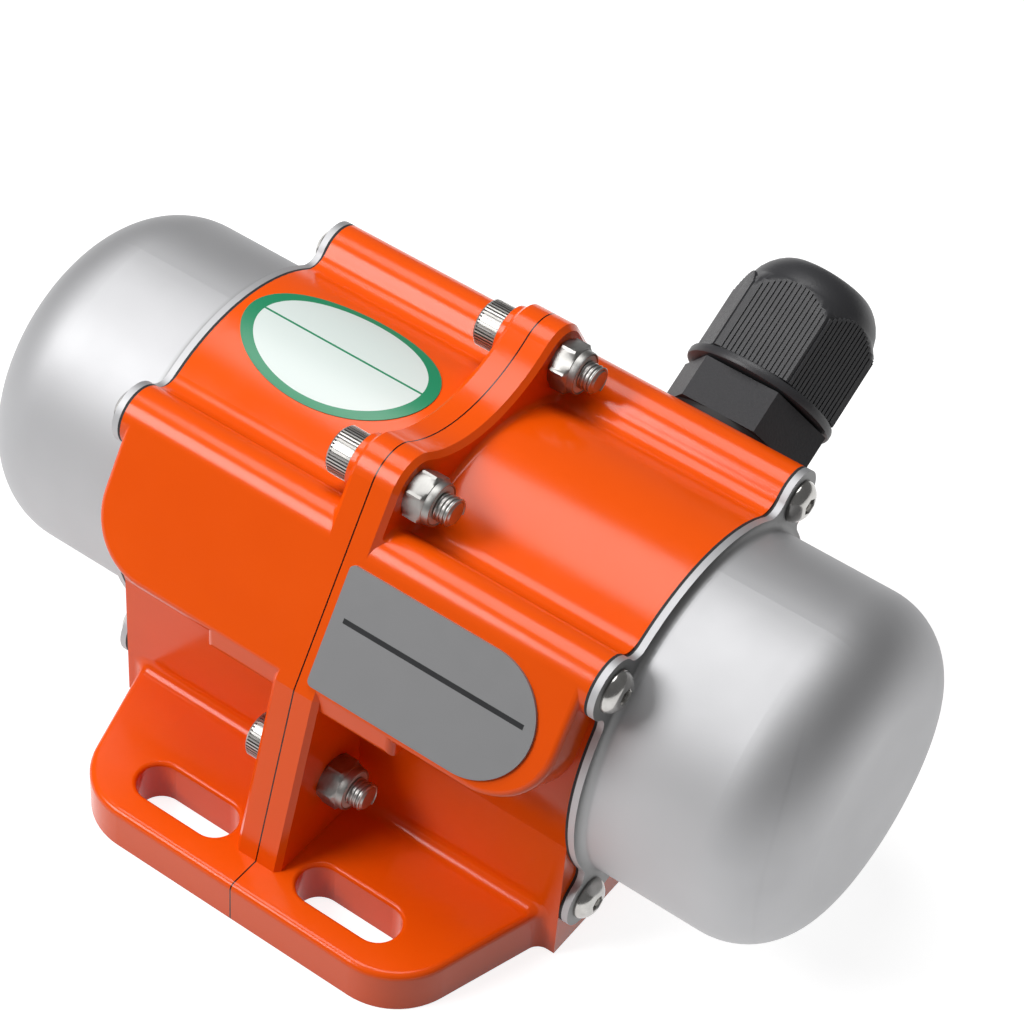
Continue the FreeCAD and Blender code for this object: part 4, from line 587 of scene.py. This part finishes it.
machined_steel, shader = new_finish("machined_shaft_steel", (0.42, 0.42, 0.43), 0.3, 1.0)
relief(machined_steel, shader, mottle(machined_steel, 0.25 * MM, (1, 8, 8), 2.0), 0.006 * MM)
bearing_steel, shader = new_finish("ground_bearing_steel", (0.62, 0.62, 0.63), 0.14, 1.0)
wear(bearing_steel, shader, mottle(bearing_steel, 1 * MM), 0.1, 0.2)
give(machined_steel, "rotor_shaft")
give(bearing_steel, "bearing_shim", "wave_spring")
for side in ("left", "right"):
    give(machined_steel, *[kind + side for kind in (
        "fixed_weight_", "adjustable_weight_", "weight_key_", "weight_spacer_", "circlip_")])
    give(bearing_steel, *[kind + side for kind in (
        "bearing_outer_", "bearing_inner_", "bearing_cage_", "bearing_balls_", "clamp_screw_")])

# ---------------------------------------------------------------------------------------------
# Studio: white paper under the foot that keeps the soft shadow, a large soft lamp on the near
# side, one high above, and the camera above the near side.
# ---------------------------------------------------------------------------------------------

PAPER, PAPER_GLOW, SKY_FILL, SKY_SEEN = (0.4, 0.4, 0.4), 0.85, 0.17, 1.0
FLOOR_REACH, FLOOR_GAP = 4.0, 0.2 * MM
floor_level = cad_box[0][2] - FLOOR_GAP
corners = [(x * FLOOR_REACH, y * FLOOR_REACH, floor_level) for x, y in ((-1, -1), (1, -1), (1, 1), (-1, 1))]
floor_mesh = bpy.data.meshes.new("studio_floor")
floor_mesh.from_pydata(corners, [], [(0, 1, 2, 3)])
floor = bpy.data.objects.new("studio_floor", floor_mesh)
bpy.context.collection.objects.link(floor)
paper, shader = new_finish("white_paper", PAPER, 0.9)
tree = paper.node_tree
path = tree.nodes.new("ShaderNodeLightPath").outputs
seen = calc(tree, "MAXIMUM", path["Is Camera Ray"], path["Is Glossy Ray"])
seen = calc(tree, "MAXIMUM", seen, path["Is Transmission Ray"])
shader.inputs["Emission Color"].default_value = (1, 1, 1, 1)
tree.links.new(calc(tree, "MULTIPLY", seen, PAPER_GLOW), shader.inputs["Emission Strength"])
floor_mesh.materials.append(paper)

world = bpy.data.worlds.new("soft_studio")
bpy.context.scene.world = world
world.use_nodes = True
tree = world.node_tree
backdrop = tree.nodes["Background"].inputs
backdrop["Color"].default_value = (1, 1, 1, 1)
path = tree.nodes.new("ShaderNodeLightPath").outputs
strength = step(tree, "ShaderNodeMapRange", Value=path["Is Camera Ray"], _3=SKY_FILL, _4=SKY_SEEN)
tree.links.new(strength, backdrop["Strength"])

AIM = Vector((9.556, 3.343, 50.0)) * MM


def softbox(name, place, width, power):
    """A round soft lamp, this many metres wide and watts strong, that faces the motor."""
    lamp = bpy.data.lights.new(name, "AREA")
    lamp.shape = "DISK"
    lamp.size = width
    lamp.energy = power
    light = bpy.data.objects.new(name, lamp)
    light.location = place
    light.rotation_euler = (AIM - Vector(place)).to_track_quat("-Z", "Y").to_euler()
    bpy.context.collection.objects.link(light)


softbox("near_softbox", (-0.45, -0.52, 0.66), width=0.45, power=5.6)
softbox("overhead_softbox", (-0.2, 0.12, 0.86), width=0.55, power=4.2)

AZIMUTH, ELEVATION, ROLL = (math.radians(angle) for angle in (32.129, 45.638, 5.36))
CAMERA_DISTANCE, FOCAL_LENGTH, SHIFT = 510.25 * MM, 108.57, (-0.00654, 0.01904)
back = Vector((math.sin(AZIMUTH) * math.cos(ELEVATION), -math.cos(AZIMUTH) * math.cos(ELEVATION),
               math.sin(ELEVATION)))
level = Vector((math.cos(AZIMUTH), math.sin(AZIMUTH), 0))
rise = back.cross(level)
across = level * math.cos(ROLL) + rise * math.sin(ROLL)
upward = rise * math.cos(ROLL) - level * math.sin(ROLL)
lens = bpy.data.cameras.new("camera")
lens.lens = FOCAL_LENGTH
lens.sensor_width = 36.0
lens.shift_x, lens.shift_y = SHIFT
camera = bpy.data.objects.new("camera", lens)
turned_to_view = Matrix((across, upward, back)).transposed().to_4x4()
camera.matrix_world = Matrix.Translation(AIM + back * CAMERA_DISTANCE) @ turned_to_view
bpy.context.collection.objects.link(camera)
bpy.context.scene.camera = camera
bpy.context.scene.view_settings.view_transform = "Standard"
